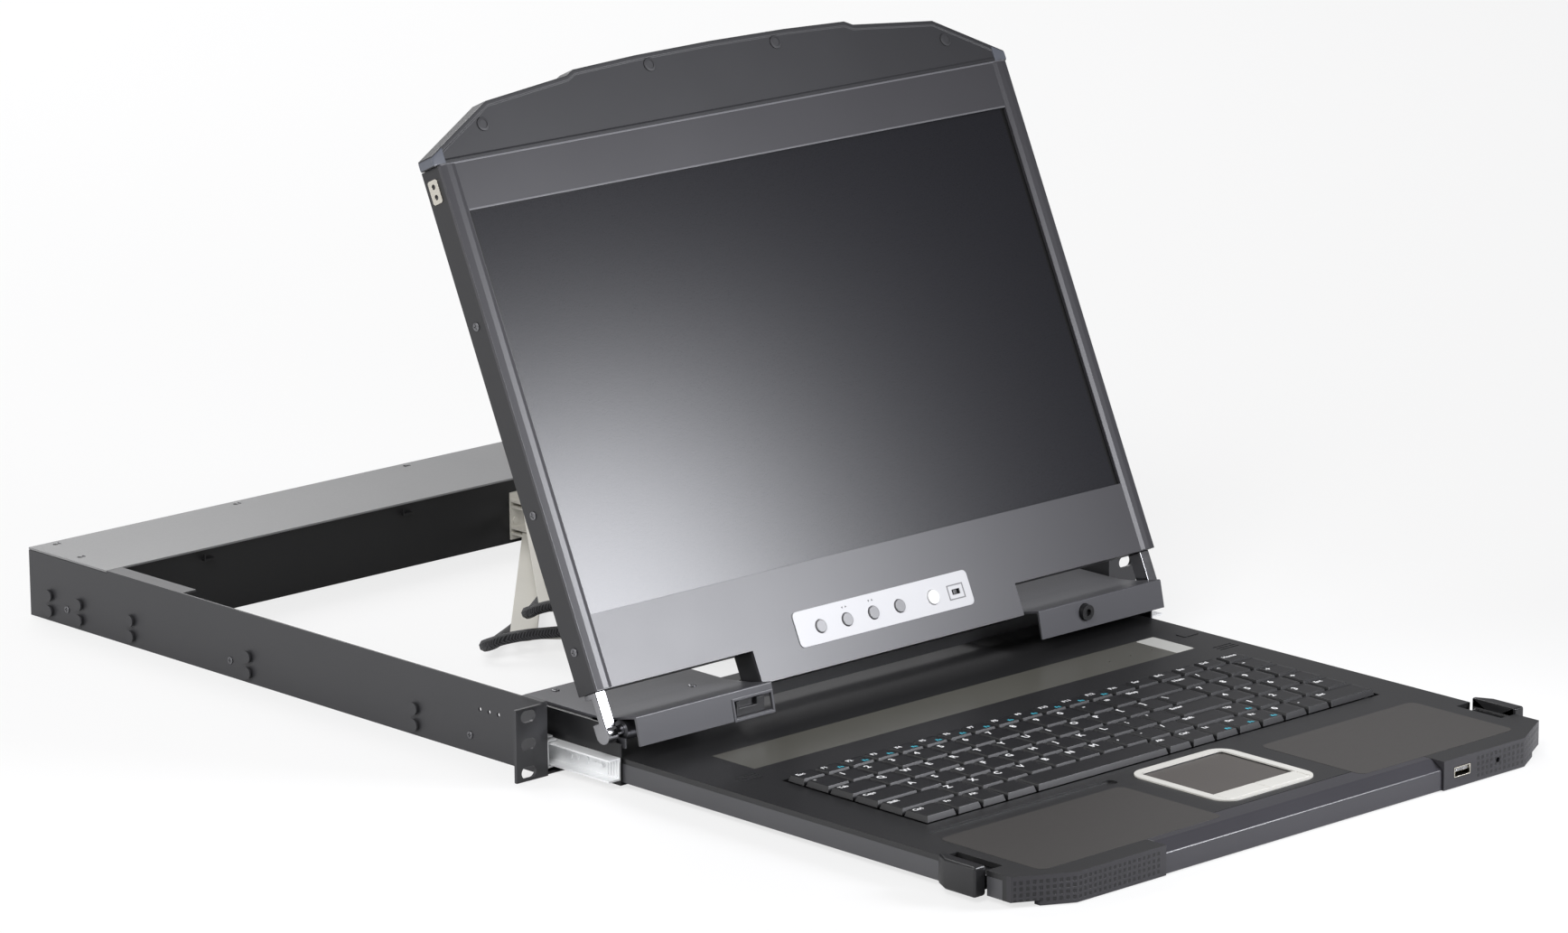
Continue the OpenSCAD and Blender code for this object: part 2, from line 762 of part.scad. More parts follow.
// Two bent tongues that hold the cable to its link
module cable_clip(up, z_plate) {
    for (s = [-1, 1]) {
        block([-clip_w / 2, min(s * (cable_r + cable_gap), s * (cable_r + cable_gap + link_t)),
                up > 0 ? z_plate : z_plate - cable_r],
            [clip_w / 2, max(s * (cable_r + cable_gap), s * (cable_r + cable_gap + link_t)),
                up > 0 ? z_plate + cable_r : z_plate]);
    }
}

module rear_link(y, l, low) {
    rear_link_place(y, l, low) {
        translate([0, 0, rear_plate_up]) link_plate(l, pivot_r + pin_gap, bush_in, link_w / 2);
        difference() {
            translate([l, 0, rear_plate_up])
                cylinder(r = bush_out, h = bush_h);
            translate([l, 0, rear_plate_up - cut])
                cylinder(r = bush_in, h = bush_h + 2 * cut);
        }
        for (share = [0.25, 0.6]) {
            translate([share * l, 0, 0]) cable_clip(-1, rear_plate_up);
        }
    }
}

module front_link(y, l, low) {
    front_link_place(y, l, low) {
        difference() {
            translate([0, 0, front_plate_up])
                link_plate(l, bush_out + pin_gap, shank_r, slot_pin_r * 2);
            translate([l, 0, front_plate_up - cut])
                cylinder(r = shank_r, h = link_t + 2 * cut);
        }
        translate([l, 0, rear_plate_up - slip])
            cylinder(r = slot_pin_r, h = front_plate_up - rear_plate_up + link_t + slip);
        for (share = [0.4, 0.75]) {
            translate([share * l, 0, 0]) cable_clip(1, front_plate_up + link_t);
        }
    }
}

// A quarter bend from a run along X to the upright axis at the origin
module cable_bend(r_bend) {
    translate([-r_bend, 0, 0])
        rotate([90, 0, 0])
            rotate_extrude(angle = 90)
                translate([r_bend, 0]) circle(r = cable_r);
}

module rear_cable(y, l, low) {
    bend = split_up - cable_r;
    rear_link_place(y, l, low) {
        translate([cable_start, 0, cable_r]) rod_x(cable_r, l - cable_start - bend);
        translate([l, 0, split_up])
            mirror([0, 0, 1]) cable_bend(bend);
    }
}

module front_cable(y, l, low) {
    bend = front_cable_up - split_up;
    front_link_place(y, l, low) {
        translate([bend, 0, front_cable_up]) rod_x(cable_r, l - cable_start - bend);
        translate([0, 0, split_up])
            mirror([1, 0, 0]) cable_bend(bend);
    }
}

module screen_rear_link() {
    color("#d8d6cc") in_frame() rear_link(screen_pivot_y, screen_link_l, screen_arm_z);
}

module screen_front_link() {
    color("#d8d6cc") in_frame() front_link(screen_pivot_y, screen_link_l, screen_arm_z);
}

module keyboard_rear_link() {
    color("#d8d6cc") in_frame() rear_link(key_pivot_y, key_link_l, key_arm_z);
}

module keyboard_front_link() {
    color("#d8d6cc") in_frame() front_link(key_pivot_y, key_link_l, key_arm_z);
}

module screen_rear_cable() {
    color("#242426") in_frame() rear_cable(screen_pivot_y, screen_link_l, screen_arm_z);
}

module screen_front_cable() {
    color("#242426") in_frame() front_cable(screen_pivot_y, screen_link_l, screen_arm_z);
}

module keyboard_rear_cable() {
    color("#242426") in_frame() rear_cable(key_pivot_y, key_link_l, key_arm_z);
}

module keyboard_front_cable() {
    color("#242426") in_frame() front_cable(key_pivot_y, key_link_l, key_arm_z);
}

// The slotted plate that takes the pin of a front link
module slot_tab(y_pin, y_from, aft, low) {
    z = low + rear_plate_up;
    difference() {
        block([pivot_x - link_w / 2, y_from, z],
            [pivot_x + link_w / 2, y_pin + aft + link_w / 4, z + link_t]);
        translate([pivot_x, 0, z - cut]) {
            for (y = [y_pin - slot_fore, y_pin + aft - slot_pin_r]) {
                translate([0, y, 0]) cylinder(r = slot_pin_r + slip, h = link_t + 2 * cut);
            }
            block([-slot_pin_r - slip, y_pin - slot_fore, 0],
                [slot_pin_r + slip, y_pin + aft - slot_pin_r, link_t + 2 * cut]);
        }
    }
}

// Slide rails, drawn for the right side

outer_rail_y = ear_t * 2.5;
outer_rail_l = housing_y - rail_end_gap - outer_rail_y;
middle_rail_y = ear_t;
middle_h = rail_h - 2 * rail_t - 2 * rail_gap;
inner_h = middle_h - 2 * rail_t - 2 * rail_gap;
outer_web = panel_in - rail_t;
middle_web = outer_web - rail_gap - rail_t;

// A channel with its web from x_web inwards or outwards, lips towards x_lip
module rail(x_web, x_lip, h, y, l) {
    a = min(x_web, x_lip);
    b = max(x_web, x_lip);
    w = x_lip < x_web ? b : a;
    for (s = [-1, 1]) {
        z = rail_z + s * (h / 2 - rail_t / 2);
        block([a, y, z - rail_t / 2], [b, y + l, z + rail_t / 2]);
    }
    block([x_lip < x_web ? w - rail_t : w, y, rail_z - h / 2],
        [x_lip < x_web ? w : w + rail_t, y + l, rail_z + h / 2]);
}

module outer_rails() {
    color("#c4c8ca") in_frame() both_sides() {
        rail(panel_in, panel_in - rail_lip, rail_h, outer_rail_y, outer_rail_l);
    }
}

module middle_rails() {
    color("#ccd0d2") in_frame() both_sides() {
        rail(outer_web - rail_gap, outer_web - rail_gap - rail_lip + rail_t, middle_h,
            middle_rail_y, middle_rail_l);
    }
}

module inner_rails() {
    color("#d6dadb") in_frame() both_sides() {
        rail(bracket_x, middle_web - 2 * rail_gap, inner_h, -bracket_front, inner_rail_l);
        for (share = [0.28, 0.42]) {
            translate([bracket_x + rail_t, share * inner_rail_l - bracket_front, rail_z])
                rod_x(rail_screw_r, rail_t);
        }
        block([bracket_x + rail_t, inner_rail_l * 0.12 - bracket_front, rail_z - rail_t],
            [bracket_x + 3 * rail_t, inner_rail_l * 0.2 - bracket_front, rail_z + rail_t]);
    }
}

// Screen carrier

shelf_z = tray_low + step_h - slip - sheet_t;

module carrier_bracket(s) {
    color("#232427") in_frame() on_side(s) {
        rear = inner_rail_l - bracket_front;
        block([bracket_in, -bracket_front, shelf_z], [bracket_x, rear, post_h]);
        block([bracket_in, -bracket_front + post_l, post_h], [bracket_x, rear, frame_top]);
        block([tray_half - step_w + slip * 2, -bracket_front, shelf_z],
            [bracket_in, rear, shelf_z + sheet_t]);
    }
}

module carrier_frame() {
    color("#232427") in_frame() {
        difference() {
            block([-bracket_in, carrier_front, frame_top - sheet_t],
                [bracket_in, carrier_rear, frame_top]);
            block([arm_clear_left, arm_clear_y, frame_top - sheet_t - cut],
                [arm_clear_right, carrier_rear + cut, frame_top + cut]);
        }
        block([-bracket_in, carrier_front, frame_low],
            [bracket_in, carrier_front + sheet_t, frame_top - sheet_t]);
        block([arm_clear_right, carrier_rear - sheet_t, frame_low + sheet_t * 2],
            [bracket_in, carrier_rear, frame_top - sheet_t]);
        block([-bracket_in, carrier_rear - sheet_t, frame_low + sheet_t * 2],
            [arm_clear_left, carrier_rear, frame_top - sheet_t]);
        slot_tab(screen_pivot_y, carrier_front + sheet_t, slot_pin_r * 2, screen_arm_z);
    }
}

flap_y = -cover_lip - flap_lean;

module cover_sheet() {
    translate([cover_inner, 0, 0])
        rotate([90, 0, 90])
            linear_extrude(cover_outer - cover_inner)
                polygon([
                    [carrier_rear, cover_top],
                    [-cover_lip + lip_run, cover_top],
                    [-cover_lip, cover_lip_z],
                    [flap_y, flap_low],
                    [flap_y + sheet_t, flap_low],
                    [-cover_lip + sheet_t, cover_lip_z - sheet_t * 1.4],
                    [-cover_lip + lip_run, cover_top - sheet_t],
                    [carrier_rear, cover_top - sheet_t]]);
}

catch_window_w = catch_w + catch_travel + 2 * slip;
catch_z = flap_low + sheet_t * 1.5;
catch_left = -cover_inner - sheet_t * 1.5 - catch_window_w;

module hinge_cover(s) {
    color("#55565a") in_frame() {
        difference() {
            on_side(s) cover_sheet();
            if (s < 0) {
                block([catch_left - slip, flap_y - cut, catch_z - slip],
                    [catch_left + catch_window_w, -cover_lip + sheet_t * 2.5,
                        catch_z + catch_h + slip]);
            } else {
                translate([stud_x, flap_y - cut, stud_z])
                    rod_y(stud_r + slip, flap_lean + sheet_t + cut * 2);
            }
            on_side(s) {
                for (place = cover_screw_places) {
                    translate([place[0], place[1], cover_top - sheet_t - cut])
                        cylinder(r = shank_r + slip, h = sheet_t + 2 * cut);
                }
            }
        }
        on_side(s) {
            block([cover_outer - sheet_t, -hinge_front - barrel_r - slip,
                    frame_low + sheet_t],
                [cover_outer, carrier_front, hinge_z - hinge_pin_r - slip]);
            block([cover_outer - sheet_t, carrier_front + sheet_t * 2, frame_top],
                [cover_outer, carrier_rear - sheet_t, cover_top - sheet_t]);
        }
    }
}

// X and Y of the cover screws
cover_screw_places = [[cover_outer * 0.915, carrier_rear - cover_screw_r * 2],
    [cover_outer * 0.62, carrier_front + cover_screw_r * 2]];

stud_x = cover_inner + (cover_outer - cover_inner) * 0.365;
stud_z = flap_low + (cover_lip_z - flap_low) * 0.56;

module carrier_screws() {
    color("#6a6a6e") in_frame() both_sides() {
        for (place = cover_screw_places) {
            translate([place[0], place[1], cover_top]) {
                cylinder(r = cover_screw_r * 0.8, h = cover_screw_out);
                translate([0, 0, frame_top - cover_top])
                    cylinder(r = shank_r, h = cover_top - frame_top);
            }
        }
    }
}

module flap_stud() {
    color("#1e1e20") in_frame() {
        translate([stud_x, flap_y - rivet_out, stud_z]) {
            difference() {
                rod_y(stud_r, flap_lean + sheet_t * 3);
                translate([0, -cut, 0]) rod_y(stud_r * 0.45, rivet_out + sheet_t + cut);
            }
        }
        translate([stud_x, flap_y + flap_lean + sheet_t * 3 - rivet_out, stud_z])
            block([-stud_r * 1.4, 0, -stud_r * 0.9], [stud_r * 1.4, sheet_t, stud_r * 0.9]);
    }
}

module hinge_barrel() {
    x = cover_outer - barrel_l - sheet_t * 2;
    difference() {
        union() {
            translate([x, -hinge_front, hinge_z]) rod_x(barrel_r, barrel_l);
            block([x, -hinge_front, hinge_z - barrel_r],
                [x + barrel_l, carrier_front, hinge_z - barrel_r * 0.3]);
        }
        translate([x - cut, -hinge_front, hinge_z])
            rod_x(hinge_pin_r + pin_gap, barrel_l + 2 * cut);
    }
}

module hinge_barrels() {
    color("#8a8c90") in_frame() both_sides() hinge_barrel();
}

module lid_catch() {
    color("#141415") in_frame() {
        translate([catch_left, 0, 0]) {
            difference() {
                block([0, flap_y + flap_lean * 0.3, catch_z],
                    [catch_w, flap_y + flap_lean + sheet_t * 3, catch_z + catch_h]);
                block([catch_w * 0.12, flap_y, catch_z + catch_h * 0.55],
                    [catch_w * 0.72, flap_y + flap_lean, catch_z + catch_h + cut]);
            }
            block([-sheet_t * 2, flap_y + flap_lean + sheet_t * 2, catch_z + sheet_t],
                [0, flap_y + flap_lean + sheet_t * 3, catch_z + catch_h - sheet_t]);
        }
    }
}

// Lid

module lid_outline(h) {
    half = lid_w / 2;
    linear_extrude(h)
        polygon([
            [-half, 0], [-tongue_half, 0], [-tongue_half, -tongue_drop],
            [tongue_half, -tongue_drop], [tongue_half, 0], [half, 0],
            [half, lid_h], [-half, lid_h]]);
}

module lid_hollow(h) {
    half = lid_w / 2 - lid_wall;
    tongue = tongue_half - lid_wall;
    low = lid_wall;
    linear_extrude(h)
        polygon([
            [-half, low], [-tongue, low], [-tongue, low - tongue_drop],
            [tongue, low - tongue_drop], [tongue, low], [half, low],
            [half, lid_h - lid_wall], [-half, lid_h - lid_wall]]);
}

vent_l = window_w * 0.06;
vent_w = lid_wall * 1.6;

module lid_back_cover() {
    color("#34353a") in_frame() on_lid() {
        difference() {
            translate([0, 0, -lid_t]) lid_outline(lid_t - bezel_t);
            translate([0, 0, lid_wall - lid_t]) lid_hollow(lid_t);
            for (i = [0:5]) {
                for (k = [-1, 1]) {
                    translate([k * window_w * 0.24 + (i - 2.5) * vent_l * 1.25 - vent_l / 2,
                        lid_h * 0.82, -lid_t - cut])
                        cube([vent_l, vent_w, lid_wall + 2 * cut]);
                }
            }
        }
    }
}

module button_holes(h) {
    for (x = menu_places) {
        translate([x, controls_s, 0]) cylinder(r = menu_r + button_gap, h = h);
    }
    translate([power_place, controls_s, 0]) cylinder(r = power_r + button_gap, h = h);
    translate([knob_place - knob_w / 2 - button_gap, controls_s - knob_h / 2 - button_gap, 0])
        cube([knob_w + knob_travel + 2 * button_gap, knob_h + 2 * button_gap, h]);
}

module lid_bezel() {
    color("#4c4d52") in_frame() on_lid() {
        difference() {
            translate([0, 0, -bezel_t]) lid_outline(bezel_t);
            translate([-window_w / 2, window_low, -bezel_t - cut])
                cube([window_w, window_h, bezel_t + 2 * cut]);
            translate([0, 0, -bezel_t - cut]) button_holes(bezel_t + 2 * cut);
        }
    }
}

module display_panel() {
    half = window_w / 2 + panel_border;
    color("#15161c") in_frame() on_lid() {
        block([-half, window_low - panel_border, -bezel_t - panel_t],
            [half, window_top + panel_border, -bezel_t]);
        for (s = [-1, 1]) {
            for (k = [0.12, 0.88]) {
                translate([s * window_w * 0.4, window_low + k * window_h, lid_wall - lid_t])
                    cylinder(r = lid_wall * 3, h = lid_t - lid_wall - bezel_t - panel_t);
            }
        }
    }
}

// Half widths and heights of the handle's corners, as shares of its size
grip_x_shares = [1, 0.78, 0.501, 0.474, 0.26, 0];
grip_y_shares = [0.14, 0.733, 0.875, 0.94, 0.984, 1];

module grip_outline(h) {
    last = len(grip_x_shares) - 1;
    right = [for (i = [0:last]) [grip_x_shares[i] * grip_half, grip_y_shares[i] * grip_h]];
    left = [for (i = [1:last]) [-right[last - i][0], right[last - i][1]]];
    linear_extrude(h)
        polygon(concat([[-grip_half, 0], [grip_half, 0]], right, left));
}

// Places of the bumpers, as shares of the handle's half width and height
bumper_places = [[-0.808, 0.438], [-0.22, 0.825], [0.22, 0.825], [0.808, 0.438]];

module upper_handle() {
    color("#3e3f44") in_frame() on_lid() {
        translate([0, lid_h, -grip_back - grip_d]) grip_outline(grip_d);
    }
}

module handle_bumpers() {
    color("#2c2c2f") in_frame() on_lid() {
        for (q = bumper_places) {
            translate([q[0] * grip_half, lid_h + q[1] * grip_h, -grip_back])
                cylinder(r = bumper_r, h = bumper_h);
        }
    }
}

module hinge_arm() {
    x = bracket_x + slip * 2;
    mid = -hinge_in - arm_t * 0.04;
    half = arm_t / 2;
    translate([x, 0, 0]) {
        difference() {
            union() {
                translate([0, -hinge_drop, -hinge_in]) rod_x(half, arm_w);
                block([0, -hinge_drop, mid - half * 0.92], [arm_w, 0, mid + half * 0.92]);
            }
            translate([arm_w * 0.3, -hinge_drop + half * 1.2, mid - half * 1.2])
                cube([arm_w, hinge_drop - half * 1.8, arm_t * 0.62]);
        }
    }
    translate([cover_outer - barrel_l - sheet_t * 3, -hinge_drop, -hinge_in])
        rod_x(hinge_pin_r, x - cover_outer + barrel_l + sheet_t * 3);
}

module hinge_arms() {
    color("#e4e4e6") in_frame() on_lid() both_sides() hinge_arm();
}

module control_plate() {
    color("#dcdcdc") in_frame() on_lid() {
        difference() {
            block([-plate_w / 2, -plate_drop, 0], [plate_w / 2, plate_h - plate_drop, plate_t]);
            translate([0, 0, -cut]) button_holes(plate_t + 2 * cut);
        }
    }
}

module lid_button(x, r) {
    translate([x, controls_s, 0]) {
        translate([0, 0, -bezel_t * 2]) cylinder(r = r, h = bezel_t * 2 + plate_t + button_out);
        translate([0, 0, -bezel_t * 2]) cylinder(r = r + bezel_t / 2, h = bezel_t - slip);
    }
}

module menu_button(i) {
    color("#a5a6a8") in_frame() on_lid() lid_button(menu_places[i], menu_r);
}

module screen_power_button() {
    color("#f2f2f2") in_frame() on_lid() lid_button(power_place, power_r);
}

module mode_switch_knob() {
    color("#1b1b1b") in_frame() on_lid() {
        translate([knob_place - knob_w / 2, controls_s - knob_h / 2, -bezel_t * 2])
            cube([knob_w, knob_h, bezel_t * 2 + plate_t + button_out * 0.6]);
        translate([knob_place - knob_w / 2, controls_s - knob_h, -bezel_t * 2])
            cube([knob_w, knob_h * 2, bezel_t - slip]);
    }
}

module lid_fittings() {
    color("#b8b4a8") in_frame() on_lid() both_sides() {
        for (share = lid_screw_shares) {
            translate([lid_w / 2, share * lid_h, -lid_t * 0.55])
                rod_x(rivet_r, rivet_out);
        }
        block([lid_w / 2, lid_h * 0.935, -lid_t * 0.8],
            [lid_w / 2 + rivet_out, lid_h * 0.98, -lid_t * 0.3]);
    }
}

// Keyboard tray

pan_front = tray_front - chamfer_d - front_wall * 2;
catch_front = side_catch_rear + side_catch_l;
notch_in = tray_half - side_catch_travel - slip * 2;

module catch_notch(z0, z1) {
    both_sides() {
        block([notch_in, -catch_front - slip * 2, z0],
            [tray_half + cut, -side_catch_rear + slip * 2, z1]);
    }
}

module tray_pan() {
    step_x = tray_half - step_w;
    color("#4a4b55") in_frame() {
        difference() {
            union() {
                block([-step_x, -pan_front, tray_low], [step_x, -tray_rear, tray_low + sheet_t]);
                both_sides() {
                    block([step_x - sheet_t, -pan_front, tray_low + sheet_t],
                        [step_x, -tray_rear, tray_low + step_h + sheet_t]);
                    block([step_x, -pan_front, tray_low + step_h],
                        [tray_half - sheet_t, -tray_rear, tray_low + step_h + sheet_t]);
                    block([tray_half - sheet_t, -pan_front, tray_low + step_h],
                        [tray_half, -tray_rear, deck_low]);
                }
                block([-tray_half + sheet_t, -tray_rear - sheet_t, tray_low + step_h + sheet_t],
                    [tray_half - sheet_t, -tray_rear, deck_low]);
            }
            catch_notch(tray_low + step_h - cut, deck_low + cut);
        }
        slot_tab(key_pivot_y, -tray_rear, slot_aft, key_arm_z);
        block([pivot_x - link_w / 2, -tray_rear - sheet_t, tray_low + sheet_t],
            [pivot_x + link_w / 2, -tray_rear, tray_low + step_h + sheet_t]);
    }
}

// Half of the tray's plan, in front of the line where the front mouldings start
module front_plan(inset) {
    half = tray_half - inset;
    front = tray_front - inset;
    polygon([
        [bar_half, -pan_front], [half, -pan_front],
        [half, -front + chamfer_d], [tray_half - chamfer_w - inset * 0.3, -front],
        [bar_half, -front]]);
}

module grip_shell() {
    difference() {
        translate([0, 0, tray_low]) linear_extrude(deck_low - tray_low) front_plan(0);
        translate([0, 0, tray_low - cut])
            linear_extrude(deck_low - tray_low + 2 * cut)
                difference() {
                    front_plan(front_wall);
                    translate([bar_half, -tray_front]) square([front_wall, tray_front]);
                }
        block([tray_half - step_w, -pan_front - cut - chamfer_d, tray_low - cut],
            [tray_half + cut, -pan_front + cut, tray_low + step_h]);
    }
}

module deck_plan() {
    half = tray_half;
    polygon([
        [-half, -tray_rear], [half, -tray_rear],
        [half, -tray_front + chamfer_d], [half - chamfer_w, -tray_front],
        [bar_half, -tray_front], [bar_half, -pan_front], [-bar_half, -pan_front],
        [-bar_half, -tray_front], [chamfer_w - half, -tray_front],
        [-half, -tray_front + chamfer_d]]);
}

strip_left = keys_shift - strip_w / 2;

module tray_deck() {
    color("#2b2c2e") in_frame() {
        difference() {
            union() {
                translate([0, 0, deck_low]) linear_extrude(deck_t) deck_plan();
                both_sides() grip_shell();
            }
            block([keys_left - well_gap, -keys_rear - keys_d - well_gap, deck_low - cut],
                [keys_left + keys_w + well_gap, -keys_rear + well_gap, deck_z + cut]);
            block([strip_left, -strip_rear - strip_d, deck_z - strip_t],
                [strip_left + strip_w, -strip_rear, deck_z + cut]);
            block([pad_left + pad_rim, -buttons_front, deck_z - pad_t - pad_sunk],
                [pad_left + pad_frame_w - pad_rim, -pad_frame_rear - pad_rim, deck_z + cut]);
            catch_notch(deck_low - cut, deck_z + cut);
            translate([socket_x, -tray_front - cut, socket_z])
                block([-socket_w / 2 - slip, 0, -socket_h / 2 - slip],
                    [socket_w / 2 + slip, front_wall + 2 * cut, socket_h / 2 + slip]);
            translate([reset_x, -tray_front - cut, socket_z])
                rod_y(reset_r, front_wall + 2 * cut);
        }
    }
}

module lower_handle() {
    back = -pan_front;
    front = -tray_front + bar_back;
    wall = front_wall * 0.8;
    color("#5b5c68") in_frame() {
        translate([-bar_half, 0, 0])
            rotate([90, 0, 90])
                linear_extrude(2 * bar_half)
                    difference() {
                        polygon([
                            [back, tray_low], [front, tray_low], [front, deck_z - bar_slope_h],
                            [front + bar_slope_d, deck_z], [back, deck_z]]);
                        polygon([
                            [back - wall, tray_low + wall], [front + wall, tray_low + wall],
                            [front + wall, deck_z - bar_slope_h - wall * 0.4],
                            [front + bar_slope_d + wall * 0.3, deck_z - wall],
                            [back - wall, deck_z - wall]]);
                    }
    }
}

module dark_strip() {
    color("#4b4a46") in_frame() {
        difference() {
            block([strip_left, -strip_rear - strip_d, deck_z - strip_t],
                [strip_left + strip_w, -strip_rear, deck_z]);
            for (i = [0:2]) {
                translate([strip_left + strip_w * (0.84 + 0.05 * i), -strip_rear - strip_d * 0.55,
                    deck_z - strip_t - cut])
                    cylinder(r = reset_r * 0.5, h = strip_t + 2 * cut);
            }
        }
    }
}

// Where each key of a row starts, in key pitches from the row's left end
function before(units, i) = i == 0 ? 0 : before(units, i - 1) + abs(units[i - 1]);

function row_y(i) = i == 0 ? 0 : top_row_pitch + (i - 1) * row_pitch;

key_low = deck_z + key_out - key_h;
main_rows = [digit_units, upper_units, home_units, lower_units, bottom_units];

// A cap with the stem that guides it
module key_cap(w, d) {
    translate([key_gap / 2, -d + key_gap / 2, key_low])
        cube([w - key_gap, d - key_gap, key_h]);
    translate([w / 2, -d / 2, well_floor + slip])
        cylinder(r = stem_r, h = key_low - well_floor);
}

// The hole in the base that a stem runs in
module stem_hole(w, d) {
    translate([w / 2, -d / 2, well_floor - key_travel - slip])
        cylinder(r = stem_r + pin_gap, h = key_travel + key_base_t + 2 * slip);
}

// A row of keys that starts at a number of pitches, y in front of the keyboard's rear edge
module key_row(units, start, y, d, holes = false) {
    for (i = [0:len(units) - 1]) {
        if (units[i] > 0) {
            translate([keys_left + key_pitch * (start + before(units, i)), -keys_rear - y, 0]) {
                if (holes) stem_hole(units[i] * key_pitch, d);
                else key_cap(units[i] * key_pitch, d);
            }
        }
    }
}

module function_row(holes) key_row(function_units, 0, row_y(0), top_row_pitch, holes);

module main_block(holes) {
    for (i = [0:4]) key_row(main_rows[i], 0, row_y(i + 1), row_pitch, holes);
}

module space_key(holes) key_row([space_units], space_start, row_y(5), row_pitch, holes);

module number_block(holes) {
    for (i = [1:4]) key_row(pad_units, main_units, row_y(i), row_pitch, holes);
    key_row(pad_low_units, main_units, row_y(5), row_pitch, holes);
}

module keyboard_base() {
    rim = well_gap * 2;
    color("#1f2022") in_frame() {
        difference() {
            union() {
                block([keys_left - rim, -keys_rear - keys_d - rim, well_floor],
                    [keys_left + keys_w + rim, -keys_rear + rim, well_floor + key_base_t]);
                for (i = [0:3]) {
                    for (k = [0, 1]) {
                        translate([keys_left + keys_w * (0.06 + 0.88 * i / 3),
                            -keys_rear - keys_d * (0.12 + 0.76 * k), tray_low + sheet_t])
                            cylinder(r = shank_r * 2.4, h = well_floor - tray_low - sheet_t);
                    }
                }
            }
            function_row(true);
            main_block(true);
            space_key(true);
            number_block(true);
        }
    }
}

module function_keys() {
    color("#2a2a2c") in_frame() function_row(false);
}

module main_keys() {
    color("#2a2a2c") in_frame() main_block(false);
}

module space_bar() {
    color("#2a2a2c") in_frame() space_key(false);
}

module number_keys() {
    color("#2a2a2c") in_frame() number_block(false);
}

module rounded_plate(x0, x1, y0, y1, r, h) {
    for (x = [x0 + r, x1 - r]) {
        for (y = [y0 + r, y1 - r]) translate([x, y, 0]) cylinder(r = r, h = h);
    }
    block([x0 + r, y0, 0], [x1 - r, y1, h]);
    block([x0, y0 + r, 0], [x1, y1 - r, h]);
}

pad_right = pad_left + pad_frame_w;
buttons_rear = buttons_front - pad_button_d;

module touchpad_frame() {
    color("#d9d9d4") in_frame() {
        difference() {
            translate([0, 0, deck_z])
                rounded_plate(pad_left, pad_right, -pad_front, -pad_frame_rear, pad_corner_r,
                    pad_out);
            block([pad_left + pad_rim, -buttons_front, deck_z - cut],
                [pad_right - pad_rim, -pad_frame_rear - pad_rim, deck_z + pad_out + cut]);
        }
    }
}

module touch_surface() {
    color("#55524f") in_frame() {
        block([pad_left + pad_rim, -buttons_rear + pad_gap, deck_z - pad_t - pad_sunk],
            [pad_right - pad_rim, -pad_frame_rear - pad_rim, deck_z - pad_sunk]);
    }
}

module pad_button(s) {
    color("#dededa") in_frame() {
        translate([keys_shift, 0, 0]) on_side(s)
            block([pad_gap / 2, -buttons_front + pad_gap, deck_z - pad_sunk - pad_t + pad_travel + slip],
                [pad_frame_w / 2 - pad_rim - pad_gap, -buttons_rear - pad_gap, deck_z + pad_out]);
    }
}

module front_socket() {
    color("#cfcfcf") in_frame() {
        translate([socket_x, -tray_front, socket_z]) {
            difference() {
                block([-socket_w / 2, 0, -socket_h / 2], [socket_w / 2, socket_d, socket_h / 2]);
                block([socket_wall - socket_w / 2, -cut, socket_wall - socket_h / 2],
                    [socket_w / 2 - socket_wall, socket_d - socket_wall, socket_h / 2 - socket_wall]);
            }
            block([socket_wall * 2 - socket_w / 2, socket_wall * 2, 0],
                [socket_w / 2 - socket_wall * 2, socket_d - socket_wall, socket_h * 0.3]);
            block([-socket_w / 4, socket_d * 0.6, tray_low + sheet_t - socket_z],
                [socket_w / 4, socket_d, -socket_h / 2]);
        }
    }
}

module side_catch(s) {
    wedge = side_catch_out * 1.2;
    low = tray_low + step_h;
    color("#26272a") in_frame() on_side(s) {
        translate([0, 0, low])
            linear_extrude(side_catch_top - low)
                polygon([
                    [tray_half + slip, -catch_front], [tray_half + side_catch_out, -catch_front],
                    [tray_half + side_catch_out, -side_catch_rear - wedge],
                    [tray_half + side_catch_out * 0.4, -side_catch_rear],
                    [tray_half + slip, -side_catch_rear]]);
        block([tray_half - step_w * 1.1, -catch_front + sheet_t * 2, low + sheet_t * 1.5],
            [tray_half + slip, -side_catch_rear - sheet_t * 2, deck_low - slip]);
    }
}

chassis_side(-1);  // chassis_side_left
chassis_side(1);  // chassis_side_right
rear_housing();
rear_cover();
housing_screws();
outer_rails();
main_board();
power_supply();
power_inlet();
rear_connectors();
cable_arm_bracket();
middle_rails();
inner_rails();
carrier_bracket(-1);  // carrier_bracket_left
carrier_bracket(1);  // carrier_bracket_right
carrier_frame();
hinge_cover(-1);  // hinge_cover_left
hinge_cover(1);  // hinge_cover_right
hinge_barrels();
carrier_screws();
flap_stud();
lid_catch();
lid_back_cover();
lid_bezel();
display_panel();
upper_handle();
handle_bumpers();
hinge_arms();
control_plate();
lid_fittings();
menu_button(0);  // menu_button_1
menu_button(1);  // menu_button_2
menu_button(2);  // menu_button_3
menu_button(3);  // menu_button_4
screen_power_button();
mode_switch_knob();
tray_pan();
tray_deck();
lower_handle();
dark_strip();
keyboard_base();
touch_surface();
touchpad_frame();
front_socket();
pad_button(-1);  // touchpad_button_left
pad_button(1);  // touchpad_button_right
side_catch(-1);  // side_catch_left
side_catch(1);  // side_catch_right
function_keys();
main_keys();
space_bar();
number_keys();
screen_rear_link();
screen_front_link();
keyboard_rear_link();
keyboard_front_link();
